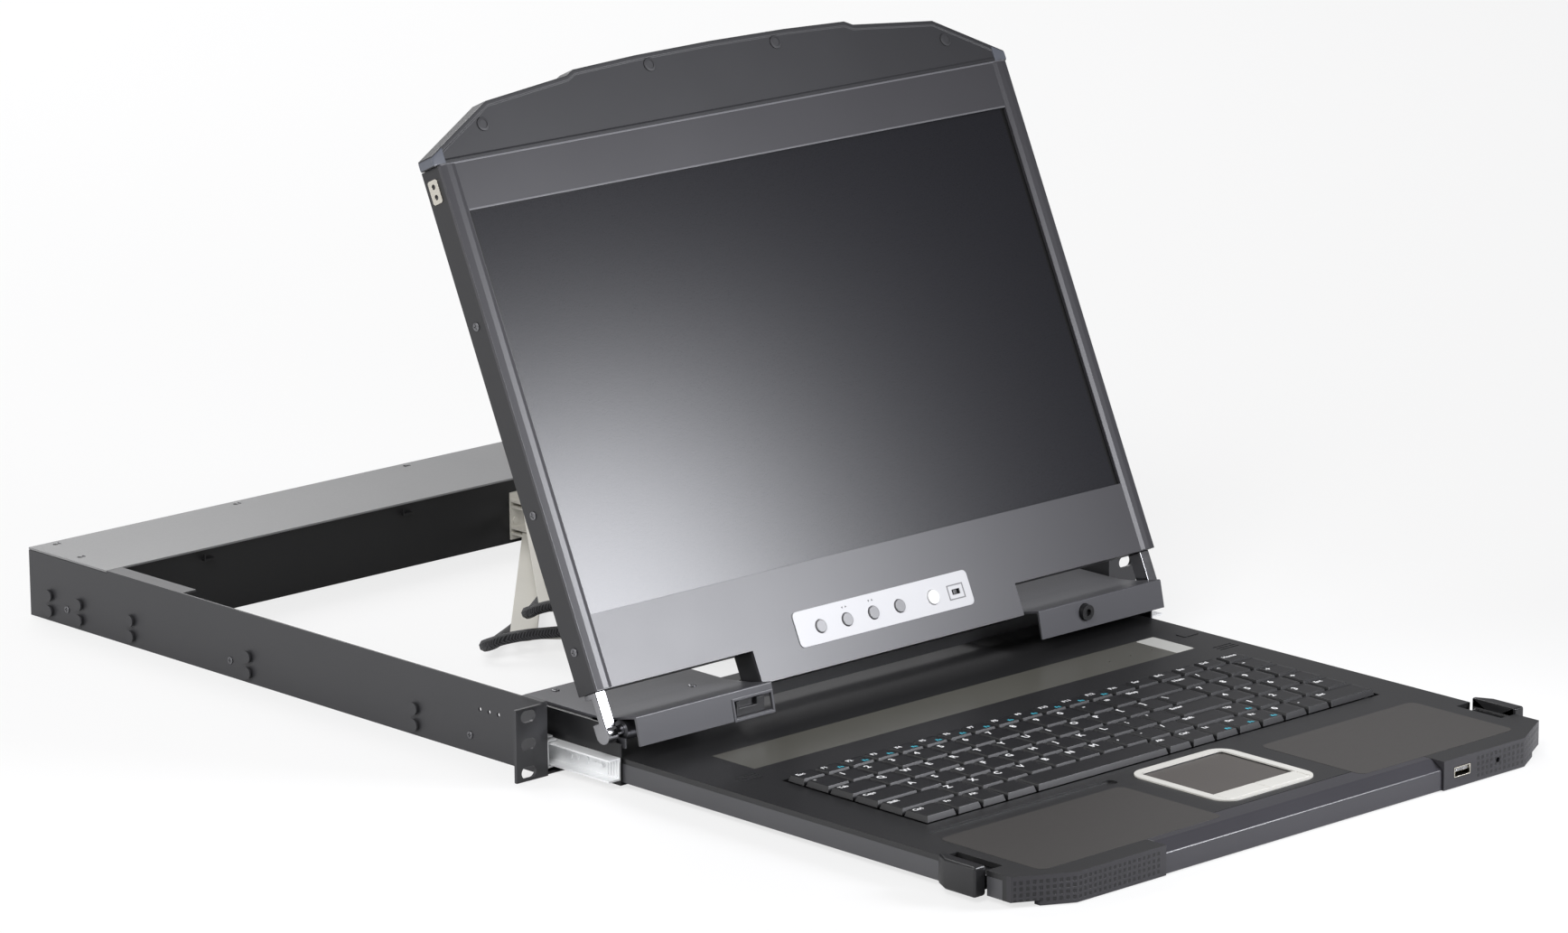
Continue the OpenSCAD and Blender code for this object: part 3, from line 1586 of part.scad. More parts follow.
screen_rear_cable();
screen_front_cable();
keyboard_rear_cable();
keyboard_front_cable();
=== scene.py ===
"""A rack console drawer with a fold-up screen: the finish of its surfaces and its fine pieces."""

import json
import math

import bmesh
import bpy
from mathutils import Matrix, Vector


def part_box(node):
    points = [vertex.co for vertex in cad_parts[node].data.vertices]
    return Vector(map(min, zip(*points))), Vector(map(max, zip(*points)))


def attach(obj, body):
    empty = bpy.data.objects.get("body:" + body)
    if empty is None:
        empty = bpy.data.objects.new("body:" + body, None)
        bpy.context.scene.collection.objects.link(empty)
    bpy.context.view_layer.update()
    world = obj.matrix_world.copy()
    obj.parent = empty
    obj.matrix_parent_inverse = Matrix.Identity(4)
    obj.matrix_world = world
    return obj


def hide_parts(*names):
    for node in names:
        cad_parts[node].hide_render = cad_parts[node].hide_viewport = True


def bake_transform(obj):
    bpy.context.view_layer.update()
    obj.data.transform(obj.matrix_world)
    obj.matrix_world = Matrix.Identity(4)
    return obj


bl_info = {
    "name": "Rack Console Drawer",
    "version": (1, 0, 0),
    "blender": (4, 5, 0),
    "location": "View3D > Sidebar > Console",
    "description": "Models and finishes the visible pieces of a rack console drawer",
    "category": "Add Mesh",
}

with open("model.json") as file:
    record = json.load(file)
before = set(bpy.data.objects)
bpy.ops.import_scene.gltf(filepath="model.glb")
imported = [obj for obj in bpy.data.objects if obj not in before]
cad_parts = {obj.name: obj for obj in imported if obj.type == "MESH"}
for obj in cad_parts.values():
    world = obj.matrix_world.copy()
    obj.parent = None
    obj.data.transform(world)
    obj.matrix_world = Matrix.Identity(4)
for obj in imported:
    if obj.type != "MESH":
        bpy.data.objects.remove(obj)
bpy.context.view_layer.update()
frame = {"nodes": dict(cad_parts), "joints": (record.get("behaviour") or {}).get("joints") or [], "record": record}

MM = 0.001
# A direction this near to an axis runs along it, and a face this near faces that way
ALONG = 0.99
FACING = 0.9
SMOOTH_ANGLE = math.radians(38)
RECORD = frame["record"]
BODY_OF = {n: b for b, members in RECORD["behaviour"]["bodies"].items() for n in members}
SLOT_OF = {entry["node"]: entry["material_slot"] for entry in RECORD["subparts"]}
JOINTS = {joint["name"]: joint for joint in frame["joints"]}
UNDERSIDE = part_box("rear_housing")[0].z
DECK_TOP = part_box("tray_deck")[1].z

# The lid's own axes: X across, Y up the lid from its lower edge, Z out of its face
HINGE = Vector(JOINTS["lid_hinge"]["pos_m"])
LID_TILT = math.radians(JOINTS["lid_hinge"]["range_deg"][1] - 90)
HINGE_DROP = 23.3 * MM
HINGE_IN = 8.6 * MM
LID = (
    Matrix.Translation(HINGE)
    @ Matrix.Rotation(math.pi / 2 - LID_TILT, 4, "X")
    @ Matrix.Translation((0, HINGE_DROP, HINGE_IN))
)


# Shaping


def pick(*pieces):
    """Only these pieces are selected, and the last of them is active."""
    active = bpy.context.view_layer.objects.active
    if active and active.mode != "OBJECT":
        bpy.ops.object.mode_set(mode="OBJECT")
    bpy.ops.object.select_all(action="DESELECT")
    for piece in pieces:
        piece.select_set(True)
    if pieces:
        bpy.context.view_layer.objects.active = pieces[-1]


def settle(piece):
    """Puts a piece's place, turn and size into its mesh."""
    pick(piece)
    bpy.ops.object.transform_apply(location=True, rotation=True, scale=True)
    return piece


def block(name, low, high):
    """A cuboid between two corners."""
    low = Vector(low)
    high = Vector(high)
    pick()
    bpy.ops.mesh.primitive_cube_add(size=1, location=(low + high) / 2)
    piece = bpy.context.object
    piece.name = name
    piece.scale = high - low
    return settle(piece)


def rod(name, radius, length, middle, turn=(0, 0, 0), sides=32):
    """A cylinder about its middle, along Z before it is turned."""
    pick()
    bpy.ops.mesh.primitive_cylinder_add(
        vertices=sides, radius=radius, depth=length, location=middle, rotation=turn
    )
    piece = bpy.context.object
    piece.name = name
    return settle(piece)


def open_edit(piece, mode):
    """Opens a piece for editing with nothing selected."""
    pick(piece)
    bpy.ops.object.mode_set(mode="EDIT")
    bpy.ops.mesh.select_mode(type=mode)
    bpy.ops.mesh.select_all(action="DESELECT")
    return bmesh.from_edit_mesh(piece.data)


def close_edit():
    """Back to working on whole pieces."""
    bpy.ops.object.mode_set(mode="OBJECT")


def choose_faces(piece, test):
    """Opens a piece for editing with the faces selected whose middle and normal pass the test."""
    mesh = open_edit(piece, "FACE")
    for face in mesh.faces:
        if test(face.calc_center_median(), face.normal):
            face.select_set(True)
    bmesh.update_edit_mesh(piece.data)


def choose_edges(piece, test):
    """Opens a piece for editing with the edges selected whose middle and direction pass the test."""
    mesh = open_edit(piece, "EDGE")
    for edge in mesh.edges:
        a, b = (v.co for v in edge.verts)
        if test((a + b) / 2, (b - a).normalized()):
            edge.select_set(True)
    bmesh.update_edit_mesh(piece.data)


def inset_faces(piece, test, width, depth):
    """Draws chosen faces in by a width, and out or in by a depth."""
    choose_faces(piece, test)
    bpy.ops.mesh.inset(thickness=width, depth=depth)
    close_edit()


def round_edges(piece, test, radius, segments):
    """Rounds chosen edges."""
    choose_edges(piece, test)
    bpy.ops.mesh.bevel(offset=radius, segments=segments, affect="EDGES")
    close_edit()


def move_edges(piece, test, way):
    """Moves chosen edges along a way."""
    choose_edges(piece, test)
    bpy.ops.transform.translate(value=way)
    close_edit()


def trim(piece, point, normal):
    """Cuts away what lies on the normal's side of a plane."""
    open_edit(piece, "FACE")
    bpy.ops.mesh.select_all(action="SELECT")
    bpy.ops.mesh.bisect(plane_co=point, plane_no=normal, use_fill=True, clear_outer=True)
    close_edit()


def carve(piece, tool):
    """Cuts a tool's shape out of a piece, and removes the tool."""
    pick(piece)
    modifier = piece.modifiers.new("Carve", "BOOLEAN")
    modifier.operation = "DIFFERENCE"
    modifier.solver = "EXACT"
    modifier.object = tool
    bpy.ops.object.modifier_apply(modifier=modifier.name)
    bpy.data.objects.remove(tool)


def soften(piece, width, segments=2, angle=32):
    """Breaks the sharp edges of a piece and smooths what is left."""
    pick(piece)
    modifier = piece.modifiers.new("Edges", "BEVEL")
    modifier.width = width
    modifier.segments = segments
    modifier.limit_method = "ANGLE"
    modifier.angle_limit = math.radians(angle)
    modifier.use_clamp_overlap = True
    bpy.ops.object.modifier_apply(modifier=modifier.name)
    return even_shading(piece)


def even_shading(piece):
    """Smooths the rounded edges, and keeps the large faces flat in the light."""
    pick(piece)
    bpy.ops.object.shade_smooth_by_angle(angle=SMOOTH_ANGLE)
    modifier = piece.modifiers.new("Normals", "WEIGHTED_NORMAL")
    modifier.keep_sharp = True
    bpy.ops.object.modifier_apply(modifier=modifier.name)
    return piece


def copy_of(piece, name, shift=(0, 0, 0)):
    """A copy with its own mesh, moved by a shift."""
    twin = piece.copy()
    twin.data = piece.data.copy()
    twin.name = name
    bpy.context.scene.collection.objects.link(twin)
    twin.location = Vector(twin.location) + Vector(shift)
    return twin


def joined(name, pieces):
    """One piece made of several."""
    pick(*pieces)
    if len(pieces) > 1:
        bpy.ops.object.join()
    piece = bpy.context.view_layer.objects.active
    piece.name = name
    return piece


def mirrored(piece, name):
    """The other hand of a piece, across the middle of the console."""
    twin = copy_of(piece, name)
    twin.scale = (-1, 1, 1)
    settle(twin)
    open_edit(twin, "FACE")
    bpy.ops.mesh.select_all(action="SELECT")
    bpy.ops.mesh.normals_make_consistent(inside=False)
    close_edit()
    bpy.ops.mesh.customdata_custom_splitnormals_clear()
    return even_shading(twin)


def merged_copy(node, name):
    """A closed copy of a solid, on which edges and faces can be worked."""
    weld = 0.004 * MM
    flat = math.radians(0.8)
    piece = copy_of(frame["nodes"][node], name)
    piece.parent = None
    piece.hide_viewport = False
    piece.hide_render = False
    piece.hide_set(False)
    for key in list(piece.keys()):
        del piece[key]
    pick(piece)
    bpy.ops.mesh.customdata_custom_splitnormals_clear()
    open_edit(piece, "FACE")
    bpy.ops.mesh.select_all(action="SELECT")
    bpy.ops.mesh.remove_doubles(threshold=weld)
    bpy.ops.mesh.dissolve_limited(angle_limit=flat)
    close_edit()
    return piece


def box_of(points):
    """The lowest and highest corners round a set of points."""
    low = Vector([min(p[i] for p in points) for i in range(3)])
    high = Vector([max(p[i] for p in points) for i in range(3)])
    return low, high


def separate_boxes(node, axes):
    """The boxes of a node's separate solids, measured along the axes that a matrix leads to."""
    piece = merged_copy(node, "islands")
    open_edit(piece, "FACE")
    bpy.ops.mesh.select_all(action="SELECT")
    bpy.ops.mesh.separate(type="LOOSE")
    close_edit()
    boxes = []
    for part in list(bpy.context.selected_objects):
        boxes.append(box_of([axes @ v.co for v in part.data.vertices]))
        bpy.data.objects.remove(part)
    return boxes


def islands(node):
    """The boxes of a node's separate solids, in rows from the rear, each from the left."""
    boxes = separate_boxes(node, Matrix())
    return sorted(boxes, key=lambda b: (-round((b[0].y + b[1].y) / 2, 3), b[0].x))


def lid_box(node):
    """The lowest and highest corners of a node along the lid's own axes."""
    back = LID.inverted()
    return box_of([back @ v.co for v in frame["nodes"][node].data.vertices])


def onto_lid(piece):
    """Moves a piece drawn on the lid's own axes to its place."""
    piece.matrix_world = LID @ piece.matrix_world
    return settle(piece)


def put(piece, body, look, slot, *nodes):
    """Gives a piece its finish and body, and hides the solids that it stands for."""
    settle(piece)
    piece.data.materials.clear()
    piece.data.materials.append(look)
    for face in piece.data.polygons:
        face.material_index = 0
    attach(piece, body)
    if nodes:
        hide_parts(*nodes)
    return piece


def softened(node, width, look, segments=2, before=None):
    """A solid with its edges broken, which stands for the solid."""
    piece = merged_copy(node, f"{node}_shell")
    if before:
        before(piece)
    soften(piece, width, segments)
    return put(piece, BODY_OF[node], look, SLOT_OF[node], node)


def letters(words, corner, height):
    """Flat lettering that faces up, with its lower left corner at a point."""
    stroke_share = 0.034
    pick()
    bpy.ops.object.text_add(location=corner)
    piece = bpy.context.object
    piece.data.body = words
    piece.data.size = height
    piece.data.offset = height * stroke_share
    piece.data.resolution_u = 2
    bpy.ops.object.convert(target="MESH")
    return settle(bpy.context.object)


def tube(name, points, radius):
    """A smooth round cable through points."""
    line = bpy.data.curves.new(name, "CURVE")
    line.dimensions = "3D"
    line.bevel_depth = radius
    line.bevel_resolution = 2
    line.resolution_u = 6
    line.use_fill_caps = True
    spline = line.splines.new("BEZIER")
    spline.bezier_points.add(len(points) - 1)
    for spot, point in zip(spline.bezier_points, points):
        spot.co = point
        spot.handle_left_type = "AUTO"
        spot.handle_right_type = "AUTO"
    piece = bpy.data.objects.new(name, line)
    bpy.context.scene.collection.objects.link(piece)
    pick(piece)
    bpy.ops.object.convert(target="MESH")
    piece = bpy.context.object
    bpy.ops.object.shade_smooth()
    return piece


# Materials


class Wire:
    """A socket in a material, on which sums can be written."""

    def __init__(self, look, socket):
        self.look = look
        self.socket = socket

    def sum(self, operation, first, second=0.0):
        """The result of a Math node."""
        return self.look.node(
            "ShaderNodeMath", {"operation": operation}, {0: first, 1: second}
        )

    def __add__(self, other):
        return self.sum("ADD", self, other)

    __radd__ = __add__

    def __sub__(self, other):
        return self.sum("SUBTRACT", self, other)

    def __rsub__(self, other):
        return self.sum("SUBTRACT", other, self)

    def __mul__(self, other):
        return self.sum("MULTIPLY", self, other)

    __rmul__ = __mul__

    def __abs__(self):
        return self.sum("ABSOLUTE", self)

    def sine(self):
        return self.sum("SINE", self)

    def wrap(self, size):
        """The remainder, from 0 up to size."""
        return self.look.node(
            "ShaderNodeMath", {"operation": "WRAP"}, {0: self, 1: size, 2: 0.0}
        )

    def above(self, edge, soft=0.0):
        """1 where the value is above an edge, over a soft width."""
        if not soft:
            return self.sum("GREATER_THAN", self, edge)
        return self.look.node(
            "ShaderNodeMapRange",
            {"interpolation_type": "SMOOTHSTEP"},
            {0: self, 1: edge - soft, 2: edge + soft, 3: 0.0, 4: 1.0},
        )

    def below(self, edge, soft=0.0):
        """1 where the value is below an edge, over a soft width."""
        return 1.0 - self.above(edge, soft)


class Look:
    """A material that is being made."""

    def __init__(self, name, metallic=0.0, constants=None):
        self.material = bpy.data.materials.new(name)
        self.material.use_nodes = True
        self.tree = self.material.node_tree
        self.tree.nodes.clear()
        self.shader = self.tree.nodes.new("ShaderNodeBsdfPrincipled")
        output = self.tree.nodes.new("ShaderNodeOutputMaterial")
        self.tree.links.new(self.shader.outputs[0], output.inputs["Surface"])
        self.output = output
        self.shader.inputs["Metallic"].default_value = metallic
        for key, value in (constants or {}).items():
            self.shader.inputs[key].default_value = value
        self.coordinates = None

    def node(self, kind, settings=None, inputs=None, output=0):
        """Adds a node: its settings first, then the values or wires of its sockets."""
        made = self.tree.nodes.new(kind)
        for key, value in (settings or {}).items():
            setattr(made, key, value)
        for key, value in (inputs or {}).items():
            self.feed(made.inputs[key], value)
        return Wire(self, made.outputs[output])

    def feed(self, socket, value):
        """Gives a socket a wire or a plain value."""
        if isinstance(value, Wire):
            self.tree.links.new(value.socket, socket)
        else:
            socket.default_value = value

    def spot(self):
        """The place on the object, in metres."""
        if self.coordinates is None:
            self.coordinates = self.node("ShaderNodeTexCoord", output="Object")
        return self.coordinates

    def axes(self):
        """X, Y and Z of the place, in millimetres."""
        split = self.tree.nodes.new("ShaderNodeSeparateXYZ")
        self.tree.links.new(self.spot().socket, split.inputs[0])
        return [Wire(self, split.outputs[i]) * 1000.0 for i in range(3)]

    def facing(self):
        """X, Y and Z of the surface's normal."""
        normal = self.node("ShaderNodeNewGeometry", output="Normal")
        split = self.tree.nodes.new("ShaderNodeSeparateXYZ")
        self.tree.links.new(normal.socket, split.inputs[0])
        return [Wire(self, split.outputs[i]) for i in range(3)]

    def noise(self, scale, detail=2.0, roughness=0.5, stretch=None):
        """Even cloudy noise over the object, stretched where a stretch is given."""
        place = self.spot()
        if stretch:
            place = self.node("ShaderNodeMapping", None, {0: place, 3: stretch})
        return self.node(
            "ShaderNodeTexNoise",
            None,
            {"Vector": place, "Scale": scale, "Detail": detail, "Roughness": roughness},
        )

    def mix(self, share, first, second):
        """A colour between two colours."""
        made = self.tree.nodes.new("ShaderNodeMix")
        made.data_type = "RGBA"
        self.feed(made.inputs[0], share)
        self.feed(made.inputs[6], first if isinstance(first, Wire) else (*first[:3], 1.0))
        self.feed(made.inputs[7], second if isinstance(second, Wire) else (*second[:3], 1.0))
        return Wire(self, made.outputs[2])

    def set(self, socket, value):
        """Feeds one socket of the surface's shader."""
        self.feed(self.shader.inputs[socket], value)

    def bump(self, height, depth, strength):
        """Raises the surface by a height, up to a depth in metres."""
        normal = self.node(
            "ShaderNodeBump", None, {"Height": height, "Distance": depth, "Strength": strength}
        )
        self.set("Normal", normal)


def tint(colour, amount):
    """A lighter or darker shade of a colour."""
    return tuple(min(1.0, max(0.0, c * amount)) for c in colour[:3])


def satin(name, colour, roughness=0.4, grain=0.02, grain_scale=1400.0, spread=0.12):
    """A satin surface with a fine even grain and slight unevenness of tone."""
    look = Look(name)
    broad = look.noise(14.0, 3.0)
    fine = look.noise(grain_scale, 2.0, 0.6)
    look.set("Base Color", look.mix(broad, tint(colour, 1 - spread), tint(colour, 1 + spread)))
    look.set("Roughness", fine * 0.12 + broad * 0.06 + (roughness - 0.09))
    look.bump(fine, grain * MM, 0.5)
    return look


def plain_metal(name, colour, roughness=0.3, streak=(60.0, 2.0, 60.0), metallic=1.0):
    """Plated or brushed metal with faint streaks."""
    look = Look(name, metallic=metallic)
    lines = look.noise(40.0, 4.0, 0.6, streak)
    cloud = look.noise(30.0, 3.0)
    look.set("Base Color", look.mix(cloud, tint(colour, 0.86), tint(colour, 1.05)))
    look.set("Roughness", lines * 0.16 + (roughness - 0.08))
    look.bump(lines, 0.01 * MM, 0.4)
    return look


def deck_look(colours):
    """Near-black deck moulding; its front edge is blue-grey, with square dimples on the grips, bumped in and
    painted near-black as painted shade.
    """
    look = Look("deck_moulding")
    x, y, z = look.axes()
    up = look.facing()[2]
    fine = look.noise(1800.0, 2.0, 0.6)
    broad = look.noise(12.0, 3.0)
    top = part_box("tray_deck")[1].z / MM
    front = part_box("tray_deck")[0].y / MM
    column_pitch = 3.6
    row_pitch = 3.3
    half_square = 0.95
    blur = 0.15
    lean = 0.25
    band_top = top - 1.8
    band_foot = top - 15.0
    left_inner = -112.0
    right_inner = 134.0
    outer = 204.0
    side_rear = front + 17.5
    grip_rear = front + 20.0
    grip_inner = 107.0
    along = abs(x) + y * lean
    column = abs(along.wrap(column_pitch) - column_pitch / 2).below(half_square, blur)
    row = abs((z - band_top).wrap(row_pitch) - row_pitch / 2).below(half_square, blur)
    side = up.below(0.4, 0.1) * y.below(side_rear)
    band = z.below(band_top) * z.above(band_foot)
    reach = (x.below(left_inner) + x.above(right_inner)) * abs(x).below(outer)
    dimple_and_shade = column * row * side * band * reach
    grip = y.below(grip_rear, 0.4) * abs(x).above(grip_inner)
    base = look.mix(broad, tint(colours.deck, 0.85), tint(colours.deck, 1.2))
    blue = look.mix(broad, tint(colours.grip, 0.85), tint(colours.grip, 1.15))
    body = look.mix(grip * up.below(0.6, 0.15), base, blue)
    # Painted shade: the dimples' hollows are painted near-black, on top of the bump that sinks them
    look.set("Base Color", look.mix(dimple_and_shade, body, (0.004, 0.004, 0.005)))
    look.set("Roughness", fine * 0.12 + 0.36)
    look.bump(fine * 0.04 - dimple_and_shade, 0.5 * MM, 0.8)
    return look


def braid_look(colours):
    """Black braided sleeve, with small highlights painted on the crests of its weave."""
    look = Look("cable_braid")
    x, y, z = look.axes()
    strand_pitch = 1.7
    turn = 2 * math.pi / strand_pitch
    first = ((x + y + z) * turn).sine()
    second = ((x - y + z * 1.3) * turn).sine()
    weave = first * second
    # Painted highlight: the crests of the weave are painted lighter, and are made a little glossier
    painted_glint = weave.above(0.25, 0.2)
    look.set("Base Color", look.mix(painted_glint, tint(colours.cable, 0.6), (0.12, 0.12, 0.13)))
    look.set("Roughness", painted_glint * -0.15 + 0.5)
    look.bump(weave, 0.35 * MM, 0.9)
    return look


def board_look():
    """Green board with tracks and pads."""
    look = Look("circuit_board")
    x, y = look.axes()[:2]
    track_pitch = 4.0
    across_pitch = 5.0
    half_track = 0.4
    blur = 0.1
    track = abs(x.wrap(track_pitch) - track_pitch / 2).below(half_track, blur)
    track = track * look.noise(20.0, 1.0).above(0.5, 0.02)
    across = abs(y.wrap(across_pitch) - across_pitch / 2).below(half_track, blur)
    across = across * look.noise(33.0, 1.0).above(0.52, 0.02)
    parts = look.noise(70.0, 0.0).above(0.66, 0.01)
    lines = track + across
    green = look.mix(lines, (0.02, 0.11, 0.04), (0.06, 0.24, 0.09))
    look.set("Base Color", look.mix(parts, green, (0.02, 0.02, 0.02)))
    look.set("Roughness", parts * 0.2 + 0.35)
    look.bump(lines + parts * 2.0, 0.1 * MM, 0.5)
    return look


def strip_look(colours):
    """Olive-grey satin window strip, slightly uneven."""
    look = Look("gloss_strip")
    cloud = look.noise(6.0, 2.0)
    look.set("Base Color", look.mix(cloud, tint(colours.strip, 0.8), tint(colours.strip, 1.25)))
    look.set("Roughness", cloud * 0.05 + 0.28)
    return look


def screen_look(colours):
    """Dark display behind a fine anti-glare surface, with a black border at its sides."""
    look = Look("display_surface", constants={"Specular IOR Level": 0.4})
    border_wide = 6.5
    x = look.axes()[0]
    sparkle = look.noise(4200.0, 1.0)
    cloud = look.noise(5.0, 1.0)
    glass = look.mix(cloud, tint(colours.screen, 0.9), tint(colours.screen, 1.15))
    border = abs(x).above(lid_box("display_panel")[1].x / MM - border_wide, 0.1)
    look.set("Base Color", look.mix(border, glass, (0.004, 0.004, 0.004)))
    look.set("Roughness", sparkle * 0.04 + 0.26)
    return look


def key_look(colours):
    """Black key caps with a fine grain and a slightly uneven tone."""
    look = Look("key_caps")
    fine = look.noise(2400.0, 2.0, 0.6)
    broad = look.noise(60.0, 2.0)
    look.set("Base Color", look.mix(broad, tint(colours.keys, 0.8), tint(colours.keys, 1.3)))
    look.set("Roughness", fine * 0.14 + 0.36)
    look.bump(fine, 0.015 * MM, 0.5)
    return look


def palm_look(colours):
    """Brown-grey palm panels with a fine brushed grain across."""
    look = Look("palm_panels")
    grain = look.noise(90.0, 4.0, 0.6, (1.0, 22.0, 22.0))
    fine = look.noise(2000.0, 1.0)
    look.set("Base Color", look.mix(grain, tint(colours.palm, 0.75), tint(colours.palm, 1.25)))
    look.set("Roughness", fine * 0.1 + 0.38)
    look.bump(grain, 0.02 * MM, 0.4)
    return look


def print_look(name, colour):
    """Printed ink, slightly uneven."""
    look = Look(name)
    cloud = look.noise(700.0, 1.0)
    look.set("Base Color", look.mix(cloud, tint(colour, 0.85), colour))
    look.set("Roughness", cloud * 0.1 + 0.45)
    return look


def make_looks(colours):
    """Every finish of the console, by a maker's name."""
    made = {
        "chassis": satin("chassis_paint", colours.chassis, 0.42, 0.02, 1500.0),
        # The housing inside is a much darker copy of the chassis paint: painted shade
        "inside": satin("housing_shaded_paint", tint(colours.chassis, 0.15), 0.6),
        "cover": satin("rear_cover_paint", colours.cover, 0.4, 0.008, 900.0, 0.06),
        "black": satin("bracket_paint", colours.bracket, 0.36, 0.012),
        "hinge": satin("hinge_cover_paint", colours.hinge_cover, 0.34, 0.01, 1200.0, 0.08),
        "lid_back": satin("lid_back_paint", colours.lid_back, 0.4, 0.02),
        "bezel": satin("lid_face_moulding", colours.bezel, 0.38, 0.012, 2200.0, 0.05),
        "handle_top": satin("upper_handle_moulding", colours.upper_handle, 0.42, 0.015),
        "handle_end": satin("handle_end_paint", (0.1, 0.108, 0.13), 0.4),
        "blue": satin("lower_handle_moulding", colours.handle, 0.32, 0.015, 1500.0),
        "film": satin("strip_end_film", (0.55, 0.55, 0.52), 0.35, 0.004, 2500.0, 0.04),
        # A light grey for thin strips that stand for highlights on edges: painted highlights
        "edge": satin("painted_highlight_edge", (0.13, 0.13, 0.14), 0.4, 0.004, 2500.0, 0.04),
        "tray": satin("tray_paint", colours.tray, 0.42, 0.02),
        "zinc": plain_metal("zinc_plate", (0.96, 0.98, 0.99), 0.36, metallic=0.3),
        "chrome": plain_metal("chrome_plate", (0.3, 0.3, 0.31), 0.2, (4.0, 4.0, 4.0)),
        "barrel": plain_metal("barrel_steel", (0.3, 0.3, 0.32), 0.4),
        "screw": plain_metal("screw_steel", (0.2, 0.2, 0.21), 0.35),
        "nickel": plain_metal("nickel_plate", (0.66, 0.63, 0.56), 0.25),
        "arm": satin("arm_plating", colours.arm, 0.34, 0.01, 900.0, 0.1),
        "silver": satin("control_plate_silver", (0.5, 0.5, 0.51), 0.42, 0.006, 3000.0, 0.03),
        "grey_button": satin("grey_buttons", (0.16, 0.16, 0.165), 0.3, 0.006, 2500.0, 0.06),
        "white_button": satin("white_button", (0.86, 0.86, 0.86), 0.3, 0.004, 2500.0, 0.02),
        "small_black": satin("black_moulding", (0.011, 0.011, 0.012), 0.38, 0.012),
        "rubber": satin("bumper_rubber", (0.03, 0.03, 0.033), 0.5, 0.03),
        "deck": deck_look(colours),
        "palm": palm_look(colours),
        "strip": strip_look(colours),
        "screen": screen_look(colours),
        "keys": key_look(colours),
        "pad_frame": satin("touchpad_frame_silver", (0.6, 0.59, 0.55), 0.36, 0.008, 2600.0, 0.05),
        "pad": satin("touch_surface", (0.075, 0.068, 0.062), 0.5, 0.015, 2600.0, 0.08),
        "board": board_look(),
        "case": plain_metal("supply_case", (0.5, 0.5, 0.51), 0.4),
        "braid": braid_look(colours),
        "gold": plain_metal("contact_gold", (0.8, 0.6, 0.25), 0.25),
        "white_ink": print_look("white_ink", (0.9, 0.9, 0.9)),
        "cyan_ink": print_look("cyan_ink", (0.07, 0.55, 0.7)),
        "dark_ink": print_look("dark_ink", (0.06, 0.06, 0.06)),
    }
    for key, look in made.items():
        LOOKS[key] = look.material


LOOKS = {}

# What each kept solid is finished with, by the record's material slot
SLOT_LOOKS = {
    "chassis_steel": "chassis",
    "cover_steel": "cover",
    "black_steel": "black",
    "hinge_cover_paint": "hinge",
    "zinc": "zinc",
    "arm_plate": "arm",
    "chrome": "chrome",
    "barrel_steel": "barrel",
    "screw_steel": "screw",
    "nickel": "nickel",
    "board": "board",
    "supply_case": "case",
    "inlet_plastic": "small_black",
    "connector_metal": "nickel",
    "lid_back": "lid_back",
    "lid_face": "bezel",
    "screen_glass": "screen",
    "upper_handle_paint": "handle_top",
    "bumper_rubber": "rubber",
    "plate_silver": "silver",
    "grey_button": "grey_button",
    "white_button": "white_button",
    "black_plastic": "small_black",
    "tray_paint": "tray",
    "deck_black": "deck",
    "handle_blue": "blue",
    "strip_olive": "strip",
    "key_black": "keys",
    "pad_frame_silver": "pad_frame",
    "pad_surface": "pad",
    "socket_metal": "nickel",
    "cable_braid": "braid",
}


class ConsoleSizes(bpy.types.PropertyGroup):
    """Sizes of the fine detail"""

    sheet_edge: bpy.props.FloatProperty(
        name="Sheet edge",
        description="Rounding of the bent sheet's edges",
        default=0.3 * MM,
        min=0.0001,
        unit="LENGTH",
    )
    mould_edge: bpy.props.FloatProperty(
        name="Moulding edge",
        description="Rounding of the mouldings' edges",
        default=0.8 * MM,
        min=0.0001,
        unit="LENGTH",
    )
    trim_height: bpy.props.FloatProperty(
        name="Side trim height",
        description="How far the lid's side trims stand out",
        default=0.8 * MM,
        unit="LENGTH",
    )
    key_taper: bpy.props.FloatProperty(
        name="Key taper",
        description="How much narrower a key is at its top, on each side",
        default=1.2 * MM,
        unit="LENGTH",
    )
    key_dish: bpy.props.FloatProperty(
        name="Key dish",
        description="Depth of the hollow in a key's top",
        default=0.3 * MM,
        unit="LENGTH",
    )
    legend: bpy.props.FloatProperty(
        name="Legend height",
        description="Size of the letters on the keys",
        default=6.0 * MM,
        unit="LENGTH",
    )
    small_legend: bpy.props.FloatProperty(
        name="Small legend height",
        description="Size of the words on the keys",
        default=4.1 * MM,
        unit="LENGTH",
    )
    cable: bpy.props.FloatProperty(
        name="Cable radius",
        description="Radius of the braided cables",
        default=3.5 * MM,
        unit="LENGTH",
    )


def colour_property(name, words, default):
    """A colour that a user can change."""
    return bpy.props.FloatVectorProperty(
        name=name, description=words, subtype="COLOR", size=3, min=0, max=1, default=default
    )


